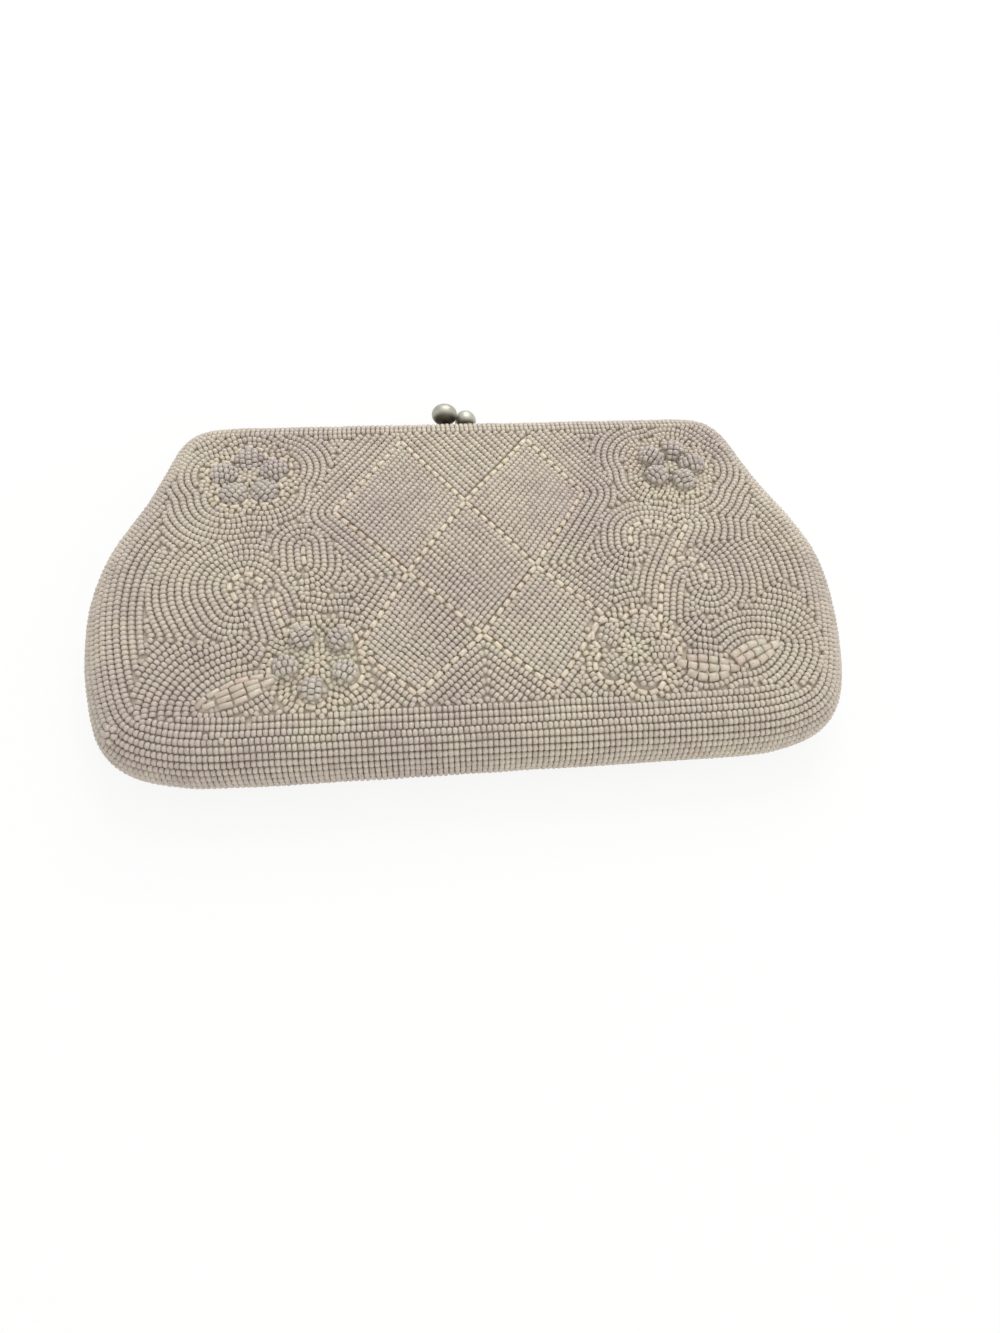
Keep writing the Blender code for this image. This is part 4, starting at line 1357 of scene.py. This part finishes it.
GLASS = {kind: bead_finish(kind + "_glass", *look) for kind, look in GLASS_SHADES.items()}
CLOTHS = {name: cloth_finish(name, *look) for name, look in CLOTH_SHADES.items()}
SHEETS = {"bead_cloth": CLOTHS["ground_cloth"], "satin_lining": CLOTHS["satin"], "buckram": CLOTHS["buckram"]}
NICKEL = metal_finish("nickel", *NICKEL_LOOK)
# Heights on Y of the painted shade on the clasp balls, taken from the back ball
BALL_LOW, BALL_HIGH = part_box("back_clasp_ball")
PAINTED_SHADE_HEIGHTS = [BALL_LOW.lerp(BALL_HIGH, share).y for share in PAINTED_SHADE_SHARES]
OLD_SILVER_WITH_PAINTED_SHADE = metal_finish("old_silver_with_painted_shade", *OLD_SILVER_LOOK, PAINTED_SHADE_HEIGHTS)


def finished(obj, material, slot):
    obj.data.materials.append(material)
    return obj


def follow(obj, body):
    """The piece moves with a body; where it crosses the fold it gets no body and its transform is baked into
    its mesh.
    """
    if body == "fold":
        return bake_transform(obj)
    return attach(obj, body)


def body_of_beads(name):
    if name.startswith(("front", "lattice", "stem")):
        return "fold"
    return "front_half" if name.startswith("flower_upper") else "bag_body"


def glass_of(name):
    """The glass of a piece's beads; the petals of the flat lower right flower are as light as the ground."""
    if name.endswith("bugles"):
        return GLASS["leaf" if name.startswith("leaf") else "bugle"]
    if name.endswith(("eye", "filling")):
        return GLASS["eye"]
    return GLASS["petal" if name.startswith("flower") and "lower_right" not in name else "seed"]


def bead_shape(name):
    """Profile, sides, length and radius of a piece's beads."""
    if not name.endswith("bugles"):
        return BEAD_PROFILE, BEAD_SIDES, BEAD_LENGTH, BEAD_RADIUS
    leaf = LEAVES.get(name.removesuffix("_bugles"))
    size = (leaf.bugle_length, leaf.bugle_radius) if leaf else (BUGLE_LENGTH, BUGLE_RADIUS)
    return BUGLE_PROFILE, BUGLE_SIDES, *size


def string_beads(layout):
    """All pieces of beads, split where one piece would be too large."""
    for name, beads in sorted(layout.items()):
        slot = "raised_beadwork" if name.startswith(("flower", "leaf")) else "bead_cloth"
        parts = max(math.ceil(len(beads) / BEADS_IN_PIECE), 1)
        for part in range(parts):
            share = beads[part * len(beads) // parts : (part + 1) * len(beads) // parts]
            if share:
                title = f"{name}_{part + 1}" if parts > 1 else name
                obj = strung(title, share, *bead_shape(name), seed=len(title) + part)
                follow(finished(obj, glass_of(name), slot), body_of_beads(name))


string_beads(front_layout())
string_beads(back_layout())


# The cloths under the beads and the lining


def cloth_piece(name, shape, slot, body, replaced, cut):
    """One sheet of a half of the bag; cut, the size it was cut to, is not used."""
    width, height, share = cut
    obj = finished(bowl(name, *shape), SHEETS[slot], slot)
    follow(obj, body)
    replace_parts(obj, *replaced)


cloth = (CLOTH_DEPTH, CLOTH_WALL, CLOTH_DEPTH)
lining = (LINING_DEPTH, LINING_WALL, LINING_INSET)
board = (BUCKRAM_DEPTH, BUCKRAM_WALL, BUCKRAM_INSET)
lower_board = (FRONT, *board, None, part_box("front_stiffener_lower")[1].y)
upper_board = (FRONT, *board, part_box("front_stiffener_upper")[0].y, None)
whole_front = ["front_beaded_panel_upper", "front_panel_fold", "front_beaded_panel_lower"]
whole_lining = ["front_lining_upper", "front_lining_fold", "front_lining_lower"]
for sheet in [
    ("back_bead_cloth", (BACK, *cloth), "bead_cloth", "bag_body", ["back_beaded_panel"], CLOTH_CUT),
    ("front_bead_cloth", (FRONT, *cloth), "bead_cloth", "fold", whole_front, CLOTH_CUT),
    ("back_satin_lining", (BACK, *lining), "satin_lining", "bag_body", ["back_lining"], LINING_CUT),
    ("front_satin_lining", (FRONT, *lining), "satin_lining", "fold", whole_lining, LINING_CUT),
    ("back_buckram", (BACK, *board), "buckram", "bag_body", ["back_stiffener"], BOARD_CUT),
    ("front_buckram_lower", lower_board, "buckram", "bag_body", ["front_stiffener_lower"], LOWER_BOARD_CUT),
    ("front_buckram_upper", upper_board, "buckram", "front_half", ["front_stiffener_upper"], UPPER_BOARD_CUT),
]:
    cloth_piece(*sheet)


def pocket():
    """The open pocket on the back lining: its sheet stands off the lining towards its mouth."""
    low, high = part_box("slip_pocket")
    columns = np.linspace(low.x, high.x, POCKET_COLUMNS)
    rows = np.linspace(low.y, high.y, POCKET_ROWS)
    across, up = np.meshgrid(columns, rows)
    flat = np.column_stack([across.ravel(), up.ravel()])
    bulge = np.cos(np.pi / 2 * flat[:, 0] / high.x) * smooth_step(flat[:, 1], low.y, high.y)
    base = surface_z(BACK, flat, LINING_INSET, LINING_DEPTH + LINING_WALL) + CLOSING_GAP
    face = base + POCKET_BULGE * bulge
    shape = (POCKET_ROWS, POCKET_COLUMNS, 3)
    layers = [np.column_stack([flat, face + rise]).reshape(shape) for rise in (LINING_WALL, 0)]
    obj = finished(shell("satin_pocket", *layers, flipped=False), CLOTHS["satin"], "satin_lining")
    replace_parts(follow(obj, "bag_body"), "slip_pocket")


pocket()


# Padding of the flowers and leaves


def flower_outline(flower):
    """The outline of the padding: the outer edges of five petals."""
    centre, petals = petals_of(flower)
    turns = np.linspace(0, 2 * math.pi, MOUND_SIDES, endpoint=False)
    ways = around(0, 1, turns)
    reach = np.full(MOUND_SIDES, flower.ring)
    for petal, _ in petals:
        along = ways @ (petal - centre)
        off = flower.radius**2 - (flower.ring**2 - along**2)
        reach = np.maximum(reach, np.where((off > 0) & (along > 0), along + np.sqrt(off.clip(0)), 0))
    return centre + ways * reach[:, None]


def padding(name, outline, raised):
    """The padding under a flower or leaf."""
    pad = mound(name + "_padding", outline, raised)
    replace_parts(follow(finished(pad, CLOTHS["ground_cloth"], "raised_beadwork"), body_of_beads(name)), name)


for name, flower in FLOWERS.items():
    padding(name, flower_outline(flower), flower_raise(flower, CLOTH_DEPTH))
for name, leaf in LEAVES.items():
    padding(name, leaf_outline(leaf), leaf_raise(leaf, LEAF_DEPTH_SHARE * leaf.bugle_radius))


# Gold thread through the bugles of the lattice


for count, edge in enumerate(LATTICE_EDGES):
    points, normals = on_surface(FRONT, straight(*edge))
    line = points - normals * BUGLE_RADIUS
    thread = tube(f"lattice_thread_{count + 1}", line, THREAD_RADIUS, THREAD_SIDES)
    follow(finished(thread, CLOTHS["gold_thread"], "bead_cloth"), "fold")


# Frame and clasp


for node in ("back_frame", "front_frame", "hinge_rivet_left", "hinge_rivet_right"):
    for material_slot in bpy.data.objects[node].material_slots:
        material_slot.material = NICKEL


def clasp_half(name, body):
    """A ball on its short neck."""
    foot, ball = neck_line(name)
    low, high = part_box(name + "_ball")
    radius = (high.x - low.x) / 2
    turns = [math.pi * k / BALL_RINGS for k in range(BALL_RINGS + 1)]
    sphere = [(-radius * math.cos(turn), radius * math.sin(turn)) for turn in turns]
    way = (ball - foot).normalized()
    head = lathe(name + "_polished_ball", ball, way, sphere, BALL_SIDES)
    left, right = BALL_SHIFTS[name]
    for vertex in head.data.vertices:
        share = (vertex.co.x - low.x) / (high.x - low.x)
        vertex.co.x += left * (1 - share) + right * share
    reach = (ball - foot).length - radius * NECK_MEETS_BALL_SHARE
    profile = [(0, 0)] + [(reach * at, NECK_RADIUS * width) for at, width in NECK_PROFILE] + [(reach, 0)]
    stalk = lathe(name + "_polished_neck", foot, way, profile, BALL_SIDES)
    for obj, node in ((head, name + "_ball"), (stalk, name + "_neck")):
        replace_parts(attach(finished(obj, OLD_SILVER_WITH_PAINTED_SHADE, "clasp_metal"), body), node)


clasp_half("back_clasp", "bag_body")
clasp_half("front_clasp", "front_half")


# The photo's camera, the pale floor and the light


def look_at_photo():
    data = bpy.data.cameras.new("photo_camera")
    camera = linked("photo_camera", data)
    data.sensor_fit = "HORIZONTAL"
    data.lens = FOCAL_SHARE * data.sensor_width
    sin_e, cos_e = math.sin(CAMERA_ELEVATION), math.cos(CAMERA_ELEVATION)
    sin_y, cos_y = math.sin(CAMERA_YAW), math.cos(CAMERA_YAW)
    forward = Vector((sin_y * cos_e, cos_y * cos_e, -sin_e))
    right = Vector((cos_y, -sin_y, 0))
    down = forward.cross(right)
    axes = Matrix.Rotation(CAMERA_ROLL, 3, "Z") @ Matrix((right, down, forward))
    camera.location = -(axes.transposed() @ Vector(CAMERA_SHIFT))
    camera.rotation_euler = Matrix((axes[0], -axes[1], -axes[2])).transposed().to_euler()
    bpy.context.scene.camera = camera


def plain_floor():
    """A pale floor that the camera sees almost white, with the bag's shadow on it."""
    signs = ((-1, -1), (1, -1), (1, 1), (-1, 1))
    corners = [(x * FLOOR_SIZE, y * FLOOR_SIZE, -FLOOR_DROP) for x, y in signs]
    floor = mesh_of("floor", corners, [(0, 1, 2, 3)], smooth=False)
    finish = Finish("floor_paper", Roughness=FLOOR_ROUGHNESS, Base_Color=linear(FLOOR_SHADE))
    glow = finish.add("Emission", {"Color": WHITE})[0]
    seen = finish.add("LightPath")["Is Camera Ray"]
    share = finish.times(seen, FLOOR_GLOW)
    both = finish.add("MixShader", {0: share, 1: finish.shader.outputs[0], 2: glow})[0]
    finish.join(both, finish.nodes["Material Output"].inputs["Surface"])
    floor.data.materials.append(finish.material)
    floor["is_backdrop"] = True


def soft_light(name, place, size, power):
    data = bpy.data.lights.new(name, "AREA")
    data.size = size
    data.energy = power
    light = linked(name, data)
    light.location = place
    light.rotation_euler = (-Vector(place)).to_track_quat("-Z", "Y").to_euler()


def white_surround():
    """A world that lights evenly and that the camera, metal and glass see as white."""
    world = bpy.data.worlds.new("surround")
    bpy.context.scene.world = world
    surround = Nodes(world)
    paths = surround.add("LightPath")
    seen = paths["Is Camera Ray"]
    for kind in ("Is Glossy Ray", "Is Transmission Ray"):
        seen = surround.add("Math", {0: seen, 1: paths[kind]}, operation="MAXIMUM")[0]
    strength = surround.add("MapRange", {"To Min": AMBIENT, "To Max": 1.0, "Value": seen})[0]
    background = surround.nodes["Background"].inputs
    surround.join(WHITE, background["Color"])
    surround.join(strength, background["Strength"])


look_at_photo()
plain_floor()
white_surround()
soft_light("window", WINDOW_PLACE, WINDOW_SIZE, WINDOW_POWER)
soft_light("lamp", LAMP_PLACE, LAMP_SIZE, LAMP_POWER)
bpy.context.scene.view_settings.view_transform = "Standard"

shown_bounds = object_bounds()
[[list(corner) for corner in corners] for corners in (cad_bounds, shown_bounds)]
